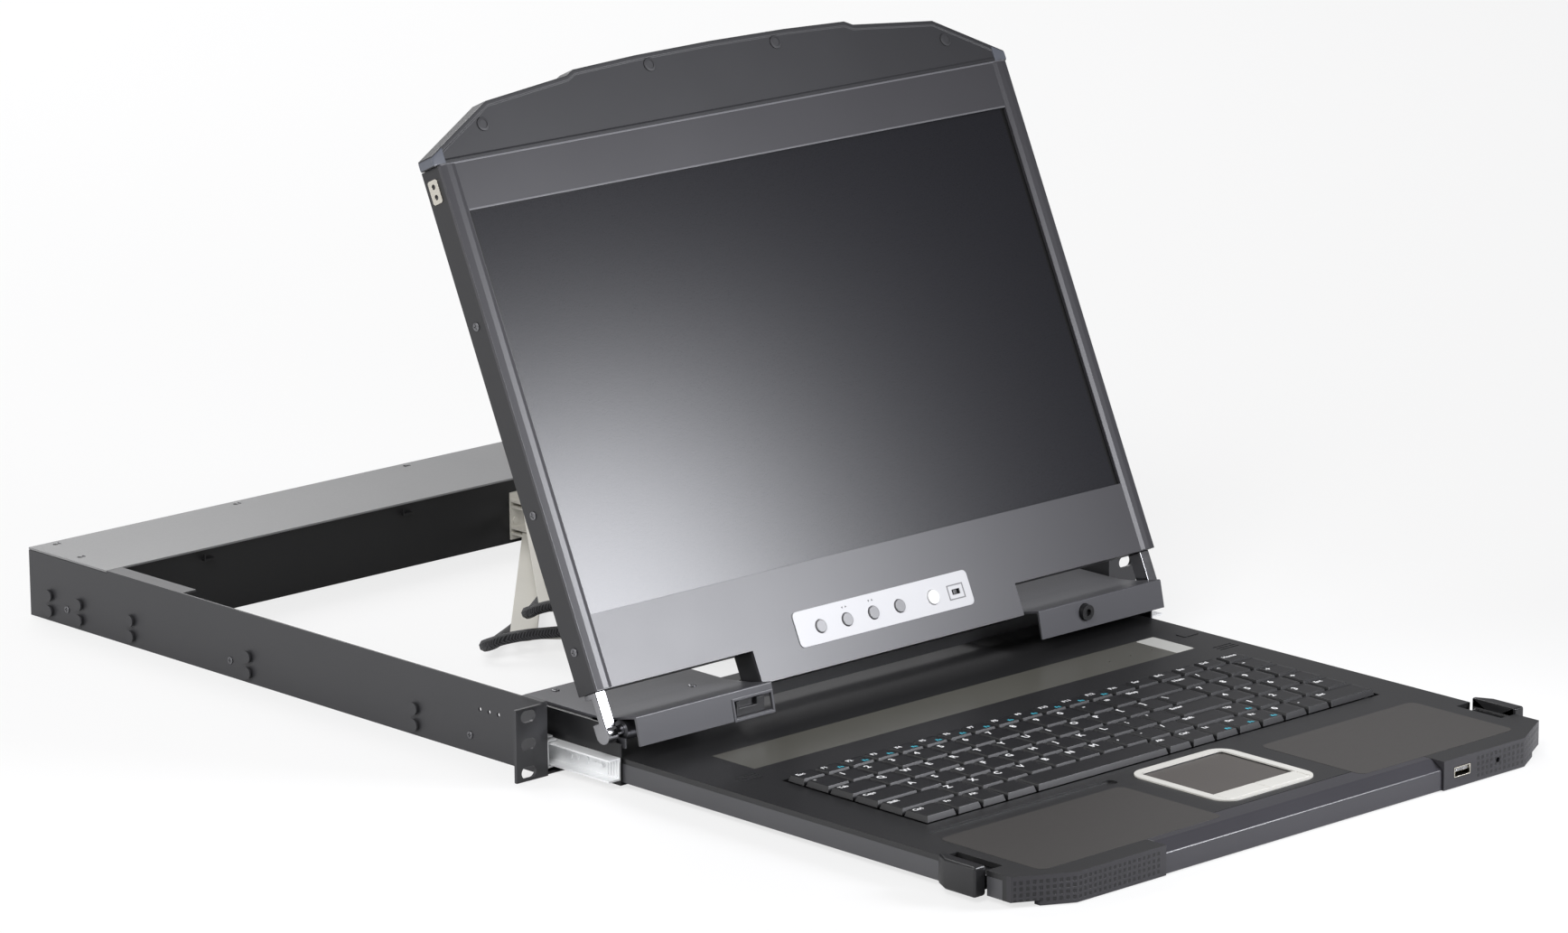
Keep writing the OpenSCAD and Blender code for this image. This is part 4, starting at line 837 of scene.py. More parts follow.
class ConsoleColours(bpy.types.PropertyGroup):
    """Colours of the main finishes"""

    chassis: colour_property("Chassis", "Paint of the chassis", (0.036, 0.036, 0.039))
    cover: colour_property("Rear cover", "Paint of the rear cover", (0.22, 0.22, 0.222))
    bracket: colour_property("Brackets", "Paint of the screen carrier", (0.010, 0.010, 0.011))
    hinge_cover: colour_property("Hinge covers", "Paint of the hinge covers", (0.07, 0.07, 0.077))
    lid_back: colour_property("Lid back", "Paint of the lid's back", (0.016, 0.016, 0.018))
    bezel: colour_property("Lid face", "Moulding round the screen", (0.042, 0.041, 0.046))
    upper_handle: colour_property("Upper handle", "Moulding on top", (0.026, 0.026, 0.029))
    handle: colour_property("Lower handle", "Moulding at the front", (0.032, 0.031, 0.037))
    grip: colour_property("Grips", "Mouldings beside the lower handle", (0.022, 0.021, 0.025))
    tray: colour_property("Tray", "Paint of the tray's pan", (0.066, 0.066, 0.071))
    deck: colour_property("Deck", "Moulding round the keys", (0.014, 0.014, 0.0145))
    palm: colour_property("Palm panels", "Panels beside the touchpad", (0.042, 0.039, 0.036))
    strip: colour_property("Strip", "Window strip behind the keys", (0.09, 0.088, 0.075))
    screen: colour_property("Screen", "Display, switched off", (0.005, 0.005, 0.008))
    keys: colour_property("Keys", "Key caps", (0.008, 0.008, 0.009))
    arm: colour_property("Arms", "Plates of the cable arms", (0.62, 0.6, 0.54))
    cable: colour_property("Cables", "Braided sleeves", (0.016, 0.016, 0.018))


# Pieces


def dress_nodes(context):
    """Gives every solid that stays the finish of its slot."""
    for node, piece in frame["nodes"].items():
        look = LOOKS[SLOT_LOOKS[SLOT_OF[node]]]
        piece.data.materials.clear()
        piece.data.materials.append(look)


def chassis_shells(context):
    """Side panels, housing, cover, arm bracket and slide rails."""
    sheet_edge = context.scene.console_sizes.sheet_edge
    rail_edge = 0.15 * MM
    for side in ("left", "right"):
        softened(f"chassis_side_{side}", sheet_edge, LOOKS["chassis"])
    # The housing takes the darkened chassis paint, as painted shade
    softened("rear_housing", sheet_edge, LOOKS["inside"])
    softened("rear_cover", sheet_edge, LOOKS["cover"])
    softened("cable_arm_bracket", sheet_edge, LOOKS["arm"])
    for node in ("outer_rails", "middle_rails", "inner_rails"):
        softened(node, rail_edge, LOOKS["zinc"])


def screw_head(name, radius, height):
    """A screw head with a cross recess, facing up, with its underside at the origin."""
    recess_long = radius * 0.62
    recess_wide = radius * 0.13
    recess_floor = height * 0.35
    above = height * 1.5
    piece = rod(name, radius, height, (0, 0, height / 2), sides=24)
    round_edges(
        piece, lambda m, d: m.z > height * 0.9 and m.to_2d().length > radius * 0.9, height * 0.45, 3
    )
    for turn in (0, math.pi / 2):
        slit = block("slit", (-recess_long, -recess_wide, recess_floor),
                     (recess_long, recess_wide, above))
        slit.rotation_euler = (0, 0, turn)
        settle(slit)
        carve(piece, slit)
    pick(piece)
    bpy.ops.object.shade_smooth_by_angle(angle=math.radians(35))
    return piece


def screws(context):
    """Heads with a cross recess on the covers, the carrier and the lid's sides."""
    head_radius = 2.9 * MM
    head_height = 0.75 * MM
    head = screw_head("screw_head", head_radius, head_height)
    housing_heads(head)
    carrier_heads(head)
    lid_side_fittings(head)
    bpy.data.objects.remove(head)


def housing_heads(head):
    """Upright heads on the rear cover, and smaller ones that face out of the side panels."""
    side_scale = (0.76, 0.76, 0.9)
    cover_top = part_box("rear_cover")[1].z
    heads = []
    for low, high in islands("housing_screws"):
        middle = (low + high) / 2
        upright = high.z - low.z > (high.x - low.x) and high.z > cover_top
        if upright:
            heads.append(copy_of(head, "head", (middle.x, middle.y, cover_top)))
        else:
            twin = copy_of(head, "head", (low.x if middle.x > 0 else high.x, middle.y, middle.z))
            twin.rotation_euler = (0, math.copysign(math.pi / 2, middle.x), 0)
            twin.scale = side_scale
            heads.append(settle(twin))
    put(joined("housing_screw_heads", heads), "chassis", LOOKS["screw"], "screw_steel",
        "housing_screws")


def carrier_heads(head):
    """Small heads, nearly sunk in the hinge covers."""
    scale = (0.8, 0.8, 0.8)
    sunk = 0.62 * MM
    heads = []
    for low, high in islands("carrier_screws"):
        middle = (low + high) / 2
        twin = copy_of(head, "head", (middle.x, middle.y, high.z - sunk))
        twin.scale = scale
        heads.append(settle(twin))
    put(joined("carrier_screw_heads", heads), "carrier", LOOKS["screw"], "screw_steel",
        "carrier_screws")


def lid_side_fittings(head):
    """Bright plates with two holes each, and small heads, on the lid's sides."""
    plate_least = 8 * MM
    plate_corner = 1.6 * MM
    plate_edge = 0.15 * MM
    hole_radius = 1.5 * MM
    hole_deep = 4 * MM
    hole_shares = (0.28, 0.72)
    head_scale = (0.85, 0.85, 0.9)
    heads = []
    plates = []
    for low, high in separate_boxes("lid_fittings", LID.inverted()):
        middle = (low + high) / 2
        side = 1 if middle.x > 0 else -1
        if high.y - low.y > plate_least:
            plate = block("plate", low, high)
            round_edges(plate, lambda m, d: abs(d.x) > ALONG, plate_corner, 4)
            for share in hole_shares:
                hole = rod("hole", hole_radius, hole_deep,
                           (middle.x, low.y + share * (high.y - low.y), middle.z),
                           (0, math.pi / 2, 0), 16)
                carve(plate, hole)
            soften(plate, plate_edge)
            plates.append(onto_lid(plate))
        else:
            twin = copy_of(head, "head", (low.x if side > 0 else high.x, middle.y, middle.z))
            twin.rotation_euler = (0, side * math.pi / 2, 0)
            twin.scale = head_scale
            heads.append(onto_lid(settle(twin)))
    put(joined("lid_side_plates", plates), "lid", LOOKS["nickel"], "nickel", "lid_fittings")
    put(joined("lid_screw_heads", heads), "lid", LOOKS["screw"], "nickel")


def hinge_sheets(context):
    """Hinge covers with a smooth valley, and the carrier's plates."""
    sheet_edge = context.scene.console_sizes.sheet_edge
    low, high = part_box("hinge_cover_left")
    crease = low.y + 29.9 * MM
    crease_near = 0.6 * MM
    crease_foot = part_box("carrier_screws")[0].z - 2.5 * MM
    valley_radius = 11 * MM
    fold_zone = 2.2 * MM
    fold_radius = 0.9 * MM

    def valley(piece):
        round_edges(
            piece,
            lambda m, d: abs(d.x) > ALONG and abs(m.y - crease) < crease_near and m.z > crease_foot,
            valley_radius,
            8,
        )
        round_edges(
            piece, lambda m, d: abs(d.x) > ALONG and m.z > high.z - fold_zone, fold_radius, 3
        )

    for side in ("left", "right"):
        softened(f"hinge_cover_{side}", sheet_edge, LOOKS["hinge"], before=valley)
        softened(f"carrier_bracket_{side}", sheet_edge, LOOKS["black"])
    softened("carrier_frame", sheet_edge, LOOKS["black"])
    arm_rounding = 1.3 * MM
    barrel_edge = 0.4 * MM
    softened("hinge_arms", arm_rounding, LOOKS["chrome"], 3)
    softened("hinge_barrels", barrel_edge, LOOKS["barrel"])


def flap_catch(context):
    """The slider in the left flap with its raised frame, and the stud in the right one."""
    low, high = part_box("lid_catch")
    flap_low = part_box("hinge_cover_left")[0]
    flap_lean = math.atan2(3.4, 16.3)
    rim = 1.6 * MM
    slot_long = 27.2 * MM
    slot_room = 0.6 * MM
    proud = 1.2 * MM
    front = low.y - 1.1 * MM
    rear = low.y + 0.5 * MM
    through = 5 * MM
    rim_edge = 0.3 * MM
    fitting_edge = 0.4 * MM
    left = low.x + 1.7 * MM
    right = left + slot_long
    bottom = low.z - slot_room
    top = high.z + slot_room
    surround = block("catch_frame", (left - rim, front, bottom - rim),
                     (right + rim, rear, top + rim))
    hole = block("hole", (left, low.y - through, bottom), (right, low.y + through, top))
    carve(surround, hole)
    pivot = Vector((0, flap_low.y, flap_low.z))
    turn = Matrix.Rotation(-flap_lean, 4, "X")
    turn = Matrix.Translation(pivot) @ turn @ Matrix.Translation(-pivot)
    surround.matrix_world = Matrix.Translation((0, -proud, 0)) @ turn
    settle(surround)
    soften(surround, rim_edge)
    put(surround, "carrier", LOOKS["hinge"], "hinge_cover_paint")
    softened("lid_catch", fitting_edge, LOOKS["small_black"])
    softened("flap_stud", fitting_edge, LOOKS["small_black"])


def lid_shells(context):
    """The lid's back cover and face."""
    back_rounding = 1.0 * MM
    face_edge = 0.35 * MM
    softened("lid_back_cover", back_rounding, LOOKS["lid_back"], 3)
    softened("lid_bezel", face_edge, LOOKS["bezel"])


def side_trims(context):
    """Raised trims with sloping sides, on the lid's face beside the window."""
    rise = context.scene.console_sizes.trim_height
    high = lid_box("lid_bezel")[1]
    inner = lid_box("display_panel")[1].x - 3.8 * MM
    middle = (inner + high.x) / 2
    side_gap = 0.15 * MM
    end_gap = 0.4 * MM
    outer_slope = 4.2 * MM
    inner_slope = 2.9 * MM
    edge = 0.2 * MM
    strip = block("trim_right", (inner, end_gap, 0), (high.x - side_gap, high.y - end_gap, rise))
    move_edges(strip, lambda m, d: abs(d.y) > ALONG and m.z > rise / 2 and m.x > middle,
               (-outer_slope, 0, 0))
    move_edges(strip, lambda m, d: abs(d.y) > ALONG and m.z > rise / 2 and m.x < middle,
               (inner_slope, 0, 0))
    soften(strip, edge, 2, 4)
    twin = mirrored(strip, "trim_left")
    for name, piece in (("lid_trim_right", strip), ("lid_trim_left", twin)):
        piece.name = name
        onto_lid(piece)
        put(piece, "lid", LOOKS["bezel"], "lid_face")


def painted_highlight_lines(context):
    """Thin strips, lighter than the face, as painted highlights along the top of the window and under the upper
    handle.
    """
    face_low, face_high = lid_box("lid_bezel")
    glass_low, glass_high = lid_box("display_panel")
    border = 4 * MM
    top = glass_high.y - border
    end_gap = 1 * MM
    edge = 0.2 * MM
    places = (
        ("window_highlight_line", (glass_low.x + border, top - 0.9 * MM, -0.9 * MM),
         (glass_high.x - border, top + 0.1 * MM, 0.1 * MM)),
        ("handle_highlight_line", (face_low.x + end_gap, face_high.y - 0.6 * MM, -1.2 * MM),
         (face_high.x - end_gap, face_high.y + 0.5 * MM, 0.12 * MM)),
    )
    # Each strip is a painted highlight on an edge
    for name, low, high in places:
        line = block(name, low, high)
        soften(line, edge)
        onto_lid(line)
        put(line, "lid", LOOKS["edge"], "lid_face")


def upper_handle(context):
    """The moulding on top of the lid, with its end pieces and round bumpers."""
    low, high = lid_box("upper_handle")
    handle_moulding(low, high)
    handle_ends(low, high)
    bumper_discs(high)


def handle_moulding(low, high):
    """A recessed face inside a rim."""
    rim = 2.6 * MM
    recess = 0.5 * MM
    front = high.z - 0.1 * MM
    middle_half = 2 * MM
    above_foot = low.y + 5 * MM
    edge = 0.7 * MM
    piece = merged_copy("upper_handle", "upper_handle_moulding")
    piece.matrix_world = LID.inverted() @ piece.matrix_world
    settle(piece)
    inset_faces(piece, lambda m, n: n.z > FACING and m.z > front, rim, 0)
    inset_faces(piece, lambda m, n: n.z > FACING and m.z > front
                and abs(m.x) < middle_half and m.y > above_foot, recess, -recess)
    soften(piece, edge)
    onto_lid(piece)
    put(piece, "lid", LOOKS["handle_top"], "upper_handle_paint", "upper_handle")


def handle_ends(low, high):
    """End pieces at the handle's lower corners, cut to its slope."""
    long = 9 * MM
    tall = 10 * MM
    proud = 0.3 * MM
    behind = 0.2 * MM
    slope_start = low.y + 5.4 * MM
    slope_normal = Vector((25, 48, 0)).normalized()
    edge = 0.8 * MM
    end = block("handle_end_right", (high.x - long, low.y + proud, low.z - behind),
                (high.x + proud, low.y + tall, high.z + proud))
    trim(end, (high.x, slope_start, 0), slope_normal)
    soften(end, edge)
    twin = mirrored(end, "handle_end_left")
    for item in (end, twin):
        onto_lid(item)
        put(item, "lid", LOOKS["handle_end"], "upper_handle_paint")


def bumper_discs(high):
    """Round rubber discs that stand just out of the handle's face."""
    radius = 4 * MM
    thick = 1.9 * MM
    proud = 0.2 * MM
    rounding = 0.4 * MM
    rim = 1.2 * MM
    dip = 0.2 * MM
    top = high.z + proud / 2
    back = LID.inverted()
    discs = []
    for number, (a, b) in enumerate(islands("handle_bumpers")):
        middle = back @ ((a + b) / 2)
        disc = rod(f"bumper_{number}", radius, thick,
                   (middle.x, middle.y, high.z + proud - thick / 2), sides=32)
        round_edges(disc, lambda m, d: m.z > top, rounding, 3)
        inset_faces(disc, lambda m, n: n.z > FACING, rim, -dip)
        pick(disc)
        bpy.ops.object.shade_smooth_by_angle(angle=SMOOTH_ANGLE)
        discs.append(onto_lid(disc))
    put(joined("bumper_discs", discs), "lid", LOOKS["rubber"], "bumper_rubber", "handle_bumpers")


def controls(context):
    """The silver plate with its buttons, the switch and plain marks."""
    plate_edge = 0.15 * MM
    button_edge = 0.6 * MM
    knob_edge = 0.25 * MM
    face = lid_box("control_plate")[1].z
    softened("control_plate", plate_edge, LOOKS["silver"], before=plate_corners)
    for number in range(1, 5):
        softened(f"menu_button_{number}", button_edge, LOOKS["grey_button"], 4)
    softened("screen_power_button", button_edge, LOOKS["white_button"], 4)
    softened("mode_switch_knob", knob_edge, LOOKS["small_black"])
    switch_surround(face)
    control_marks(face)


def plate_corners(piece):
    """Rounds the control plate's four corners."""
    radius = 3 * MM
    near = 0.2 * MM
    low, high = lid_box("control_plate")
    back = LID.inverted()
    axis = (LID.to_3x3() @ Vector((0, 0, 1))).normalized()

    def at_corner(m, d):
        place = back @ m
        return (
            abs(d.dot(axis)) > ALONG
            and abs(abs(place.x) - high.x) < near
            and min(abs(place.y - low.y), abs(place.y - high.y)) < near
        )

    round_edges(piece, at_corner, radius, 6)


def switch_surround(face):
    """A thin raised rim round the slide switch, whose knob stands left of its middle."""
    knob_shift = 1.2 * MM
    half_long = 6.2 * MM
    half_tall = 4.4 * MM
    rim = 0.7 * MM
    sunk = 0.1 * MM
    proud = 0.25 * MM
    through = 2 * MM
    edge = 0.12 * MM
    low, high = lid_box("mode_switch_knob")
    x = (low.x + high.x) / 2 + knob_shift
    y = (low.y + high.y) / 2
    surround = block("switch_surround", (x - half_long, y - half_tall, face - sunk),
                     (x + half_long, y + half_tall, face + proud))
    hole = block("hole", (x - half_long + rim, y - half_tall + rim, face - through),
                 (x + half_long - rim, y + half_tall - rim, face + through))
    carve(surround, hole)
    soften(surround, edge)
    onto_lid(surround)
    put(surround, "lid", LOOKS["grey_button"], "grey_button")


def control_marks(face):
    """A pair of plain arrows over each of the two middle menu buttons."""
    arrow = 0.85 * MM
    apart = 1.3 * MM
    above = 2.4 * MM
    ink = 0.03 * MM
    marks = []
    for number, side, turn in (
        (2, -1, math.pi / 2), (2, 1, -math.pi / 2), (3, -1, math.pi), (3, 1, 0)
    ):
        low, high = lid_box(f"menu_button_{number}")
        pick()
        bpy.ops.mesh.primitive_circle_add(
            vertices=3, radius=arrow, fill_type="NGON",
            location=((low.x + high.x) / 2 + side * apart, high.y + above, face + ink),
            rotation=(0, 0, turn),
        )
        marks.append(onto_lid(settle(bpy.context.object)))
    put(joined("control_marks", marks), "lid", LOOKS["dark_ink"], "plate_silver")


def tray_shells(context):
    """The tray's pan, deck, lower handle, dark strip and side catches."""
    sizes = context.scene.console_sizes
    strip_edge = 0.2 * MM
    catch_rounding = 1.4 * MM
    softened("tray_pan", sizes.sheet_edge, LOOKS["tray"])
    softened("tray_deck", sizes.mould_edge, LOOKS["deck"], 3, deck_cuts)
    softened("lower_handle", sizes.mould_edge, LOOKS["blue"], 3)
    softened("dark_strip", strip_edge, LOOKS["strip"])
    for side in ("left", "right"):
        softened(f"side_catch_{side}", catch_rounding, LOOKS["black"], 3)


def deck_cuts(piece):
    """A shallow groove in front of the keys, and three short slits near each side of the deck."""
    above = DECK_TOP + 2 * MM
    groove_overhang = 12 * MM
    groove_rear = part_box("main_keys")[0].y - 11.7 * MM
    groove_wide = 7.5 * MM
    groove_deep = 1.4 * MM
    groove_end = 3 * MM
    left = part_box("main_keys")[0].x - groove_overhang
    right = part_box("touchpad_frame")[0].x - groove_overhang
    groove = block("groove", (left, groove_rear - groove_wide, DECK_TOP - groove_deep),
                   (right, groove_rear, above))
    round_edges(groove, lambda m, d: abs(d.z) > ALONG, groove_end, 6)
    carve(piece, groove)
    slit_long = 15 * MM
    slit_wide = 1.1 * MM
    slit_deep = 0.8 * MM
    slit_pitch = 3 * MM
    slit_rear = -117 * MM
    slit_lefts = (-188 * MM, 184 * MM)
    for left in slit_lefts:
        for number in range(3):
            rear = slit_rear - number * slit_pitch
            slit = block("slit", (left, rear - slit_wide, DECK_TOP - slit_deep),
                         (left + slit_long, rear, above))
            carve(piece, slit)


def rounded_tile(name, low, high, radius, edge):
    """A thin flat tile with round corners."""
    piece = block(name, low, high)
    round_edges(piece, lambda m, d: abs(d.z) > ALONG, radius, 6)
    soften(piece, edge)
    return piece


def palm_panels(context):
    """Thin panels beside the touchpad."""
    pad_low, pad_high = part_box("touchpad_frame")
    deck_low, deck_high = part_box("tray_deck")
    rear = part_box("main_keys")[0].y - 24.5 * MM
    front = deck_low.y + 14.5 * MM
    pad_gap = 17 * MM
    left_margin = 20 * MM
    right_margin = 23 * MM
    sunk = 0.1 * MM
    proud = 0.14 * MM
    corner = 5 * MM
    edge = 0.05 * MM
    sides = [
        ("palm_panel_left", deck_low.x + left_margin, pad_low.x - pad_gap),
        ("palm_panel_right", pad_high.x + pad_gap, deck_high.x - right_margin),
    ]
    for name, left, right in sides:
        piece = rounded_tile(name, (left, front, DECK_TOP - sunk),
                             (right, rear, DECK_TOP + proud), corner, edge)
        put(piece, "tray", LOOKS["palm"], "deck_black")


def strip_fittings(context):
    """A small lamp window beside the dark strip, and the pale film on the strip's end."""
    low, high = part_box("dark_strip")
    corner = 1.5 * MM
    lamp_gap = 12 * MM
    lamp_long = 12 * MM
    lamp_low = 14 * MM
    lamp_high = 6 * MM
    lamp_left = high.x + lamp_gap
    lamp_edge = 0.12 * MM
    lamp = rounded_tile("lamp_window", (lamp_left, high.y - lamp_low, DECK_TOP - 0.2 * MM),
                        (lamp_left + lamp_long, high.y - lamp_high, DECK_TOP + 0.4 * MM),
                        corner, lamp_edge)
    put(lamp, "tray", LOOKS["small_black"], "deck_black")
    film_long = 15 * MM
    film_end = 0.4 * MM
    film_side = 0.6 * MM
    film_edge = 0.04 * MM
    film = rounded_tile("strip_end_film",
                        (high.x - film_long, low.y + film_side, DECK_TOP - 0.1 * MM),
                        (high.x - film_end, high.y - film_side, DECK_TOP + 0.12 * MM),
                        corner, film_edge)
    put(film, "tray", LOOKS["film"], "strip_olive")


MAIN_LEGENDS = [
    "` 1 2 3 4 5 6 7 8 9 0 - = Bksp",
    "Tab Q W E R T Y U I O P [ ] \\",
    "Caps A S D F G H J K L ; ' Enter",
    "Shift Z X C V B N M , . / Shift Up",
    "Ctrl Fn Alt _ Alt Ctrl Lt Dn Rt",
]
FUNCTION_LEGENDS = "Esc F1 F2 F3 F4 F5 F6 F7 F8 F9 F10 F11 F12 Prt Scr Brk Ins Del Home"
NUMBER_LEGENDS = "Num / * - 7 8 9 + 4 5 6 + 1 2 3 Ent 0 . Ent"
# Which keys of each group also carry a small coloured legend, counted from the left of its rear row
SECOND_LEGENDS = {
    "function_keys": range(1, 13),
    "main_keys": [53, 60, 61, 62],
    "space_bar": [],
    "number_keys": [],
}


def key_cap(name, low, high, sizes):
    """One cap: tapered, with a shallow dish and soft edges."""
    rim = 1.3 * MM
    edge = 0.35 * MM
    piece = block(name, low, high)
    middle = (low + high) / 2
    wide = (high.x - low.x - 2 * sizes.key_taper) / (high.x - low.x)
    deep = (high.y - low.y - 2 * sizes.key_taper) / (high.y - low.y)
    choose_faces(piece, lambda m, n: n.z > FACING)
    bpy.ops.transform.resize(value=(wide, deep, 1), center_override=(middle.x, middle.y, high.z))
    close_edit()
    inset_faces(piece, lambda m, n: n.z > FACING, rim, -sizes.key_dish)
    soften(piece, edge, 2, 8)
    return piece


def key_group(node, words, sizes):
    """Caps and legends for all the keys of a node."""
    cap_height = 3.8 * MM
    legend_left = 2.9 * MM
    legend_top = 2.4 * MM
    capital_share = 0.75
    in_dish = 0.18 * MM
    second_right = 6.6 * MM
    second_foot = 2.5 * MM
    second_share = 0.9
    caps = []
    white = []
    cyan = []
    models = {}
    for number, (low, high) in enumerate(islands(node)):
        low = Vector((low.x, low.y, high.z - cap_height))
        shape = (round((high.x - low.x) / MM, 1), round((high.y - low.y) / MM, 1))
        if shape not in models:
            models[shape] = (key_cap("cap", low, high, sizes), low.copy())
            caps.append(models[shape][0])
        else:
            model, origin = models[shape]
            caps.append(settle(copy_of(model, "cap", low - origin)))
        legend = words[number] if number < len(words) else ""
        if legend in ("", "_"):
            continue
        tall = sizes.legend if len(legend) == 1 else sizes.small_legend
        spot = Vector((low.x + legend_left, high.y - legend_top - tall * capital_share,
                       high.z - in_dish))
        white.append(letters(legend, spot, tall))
        if number in SECOND_LEGENDS[node]:
            spot = Vector((high.x - second_right, low.y + second_foot, high.z - in_dish))
            cyan.append(letters("Fn", spot, sizes.small_legend * second_share))
    body = BODY_OF[node]
    put(joined(f"{node}_caps", caps), body, LOOKS["keys"], "key_black", node)
    if white:
        put(joined(f"{node}_legends", white), body, LOOKS["white_ink"], "key_black")
    if cyan:
        put(joined(f"{node}_second_legends", cyan), body, LOOKS["cyan_ink"], "key_black")


def keyboard(context):
    """All key caps with plain letters and numbers."""
    sizes = context.scene.console_sizes
    key_group("function_keys", FUNCTION_LEGENDS.split(), sizes)
    key_group("main_keys", " ".join(MAIN_LEGENDS).split(), sizes)
    key_group("space_bar", [], sizes)
    key_group("number_keys", NUMBER_LEGENDS.split(), sizes)


def touchpad(context):
    """The silver frame with a rounded opening, the touch surface and the two buttons."""
    rim_least = 4 * MM
    corner = 3 * MM
    frame_edge = 0.35 * MM
    surface_edge = 0.2 * MM
    button_edge = 0.4 * MM
    low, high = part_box("touchpad_frame")
    middle = (low.x + high.x) / 2
    half = (high.x - low.x) / 2

    def opening_corners(piece):
        round_edges(
            piece,
            lambda m, d: abs(d.z) > ALONG
            and abs(m.x - middle) < half - rim_least
            and low.y + rim_least < m.y < high.y - rim_least,
            corner,
            6,
        )

    softened("touchpad_frame", frame_edge, LOOKS["pad_frame"], 3, opening_corners)
    softened("touch_surface", surface_edge, LOOKS["pad"])
    for side in ("left", "right"):
        softened(f"touchpad_button_{side}", button_edge, LOOKS["pad_frame"], 3)


def sockets(context):
    """The front socket, the power inlet and the rear connectors."""
    socket_edge = 0.1 * MM
    inlet_edge = 0.5 * MM
    connector_edge = 0.3 * MM
    softened("front_socket", socket_edge, LOOKS["nickel"])
    socket_inside()
    softened("power_inlet", inlet_edge, LOOKS["small_black"])
    softened("rear_connectors", connector_edge, LOOKS["nickel"])
    connector_pins()


def socket_inside():
    """The front socket's pale tongue, with four contacts under it."""
    wall = 1.1 * MM
    end = 1 * MM
    tongue_foot = 2.9 * MM
    tongue_top = 1.12 * MM
    tongue_edge = 0.15 * MM
    low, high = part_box("front_socket")
    tongue = block("socket_tongue", (low.x + wall, low.y + end, high.z - tongue_foot),
                   (high.x - wall, high.y - end, high.z - tongue_top))
    soften(tongue, tongue_edge)
    put(tongue, "tray", LOOKS["white_button"], "socket_metal")
    half_contact = 0.5 * MM
    half_thick = 0.1 * MM
    contact_edge = 0.06 * MM
    front = low.y + 1.4 * MM
    rear = high.y - 4 * MM
    foot = high.z - tongue_foot
    first_share = 0.26
    pitch_share = 0.16
    contacts = []
    for number in range(4):
        x = low.x + (high.x - low.x) * (first_share + pitch_share * number)
        contact = block("contact", (x - half_contact, front, foot - half_thick),
                        (x + half_contact, rear, foot + half_thick))
        soften(contact, contact_edge)
        contacts.append(contact)
    put(joined("socket_contacts", contacts), "tray", LOOKS["gold"], "socket_metal")


def connector_pins():
    """Three staggered rows of five pins in each rear connector."""
    pin_radius = 0.45 * MM
    pin_long = 2.6 * MM
    column_pitch = 2.4 * MM
    row_pitch = 1.9 * MM
    stagger = 0.6 * MM
    pin_edge = 0.1 * MM
    pins = []
    for low, high in islands("rear_connectors"):
        middle = (low + high) / 2
        for row in (-1, 0, 1):
            for column in range(-2, 3):
                spot = (middle.x + column * column_pitch + row * stagger, high.y - pin_long,
                        middle.z + row * row_pitch)
                pin = rod("pin", pin_radius, pin_long, spot, (math.pi / 2, 0, 0), 12)
                soften(pin, pin_edge)
                pins.append(pin)
    put(joined("connector_pins", pins), "chassis", LOOKS["gold"], "connector_metal")


def rail_details(context):
    """Four pressed ridges and a long oval on the web of each inner rail."""
    low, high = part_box("inner_rails")
    middle = (low.z + high.z) / 2
    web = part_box("carrier_bracket_right")[1].x + 1 * MM
    sunk = 0.2 * MM
    proud = 0.7 * MM
    edge = 0.3 * MM
    ridge_start = 1.5 * MM
    ridge_pitch = 2.4 * MM
    ridge_wide = 1.1 * MM
    ridge_half = 4.6 * MM
    oval_front = -14 * MM
    oval_rear = -2 * MM
    oval_half = 1.9 * MM
    oval_end = 1.85 * MM
    pressed = []
    for side in (-1, 1):
        left, right = sorted((side * (web - sunk), side * (web + proud)))
        for number in range(4):
            y = low.y + ridge_start + number * ridge_pitch
            ridge = block("ridge", (left, y, middle - ridge_half),
                          (right, y + ridge_wide, middle + ridge_half))
            soften(ridge, edge)
            pressed.append(ridge)
        oval = block("oval", (left, oval_front, middle - oval_half),
                     (right, oval_rear, middle + oval_half))
        round_edges(oval, lambda m, d: abs(d.x) > ALONG, oval_end, 6)
        soften(oval, edge)
        pressed.append(oval)
    put(joined("rail_pressings", pressed), "carrier", LOOKS["zinc"], "zinc")


class Arm:
    """A cable arm: its elbow, the ways along its two links, and the heights of its cables."""

    def __init__(self, name, radius):
        pivot = Vector(JOINTS[f"{name}_arm_pivot"]["pos_m"])
        self.elbow = Vector(JOINTS[f"{name}_arm_elbow"]["pos_m"])
        span = (pivot - self.elbow).to_2d()
        to_rear = span.normalized().to_3d()
        self.name = name
        self.radius = radius
        self.length = span.length
        self.ways = {"rear": to_rear, "front": Vector((to_rear.x, -to_rear.y, 0))}
        self.heights = {
            "rear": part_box(f"{name}_rear_cable")[0].z + radius,
            "front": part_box(f"{name}_front_cable")[1].z - radius,
        }

    def place(self, end, along, out, height):
        """A place at a distance from the elbow along a link, and to the left of the link."""
        spot = self.elbow + self.ways[end] * along - Vector((out, 0, 0))
        return Vector((spot.x, spot.y, height))


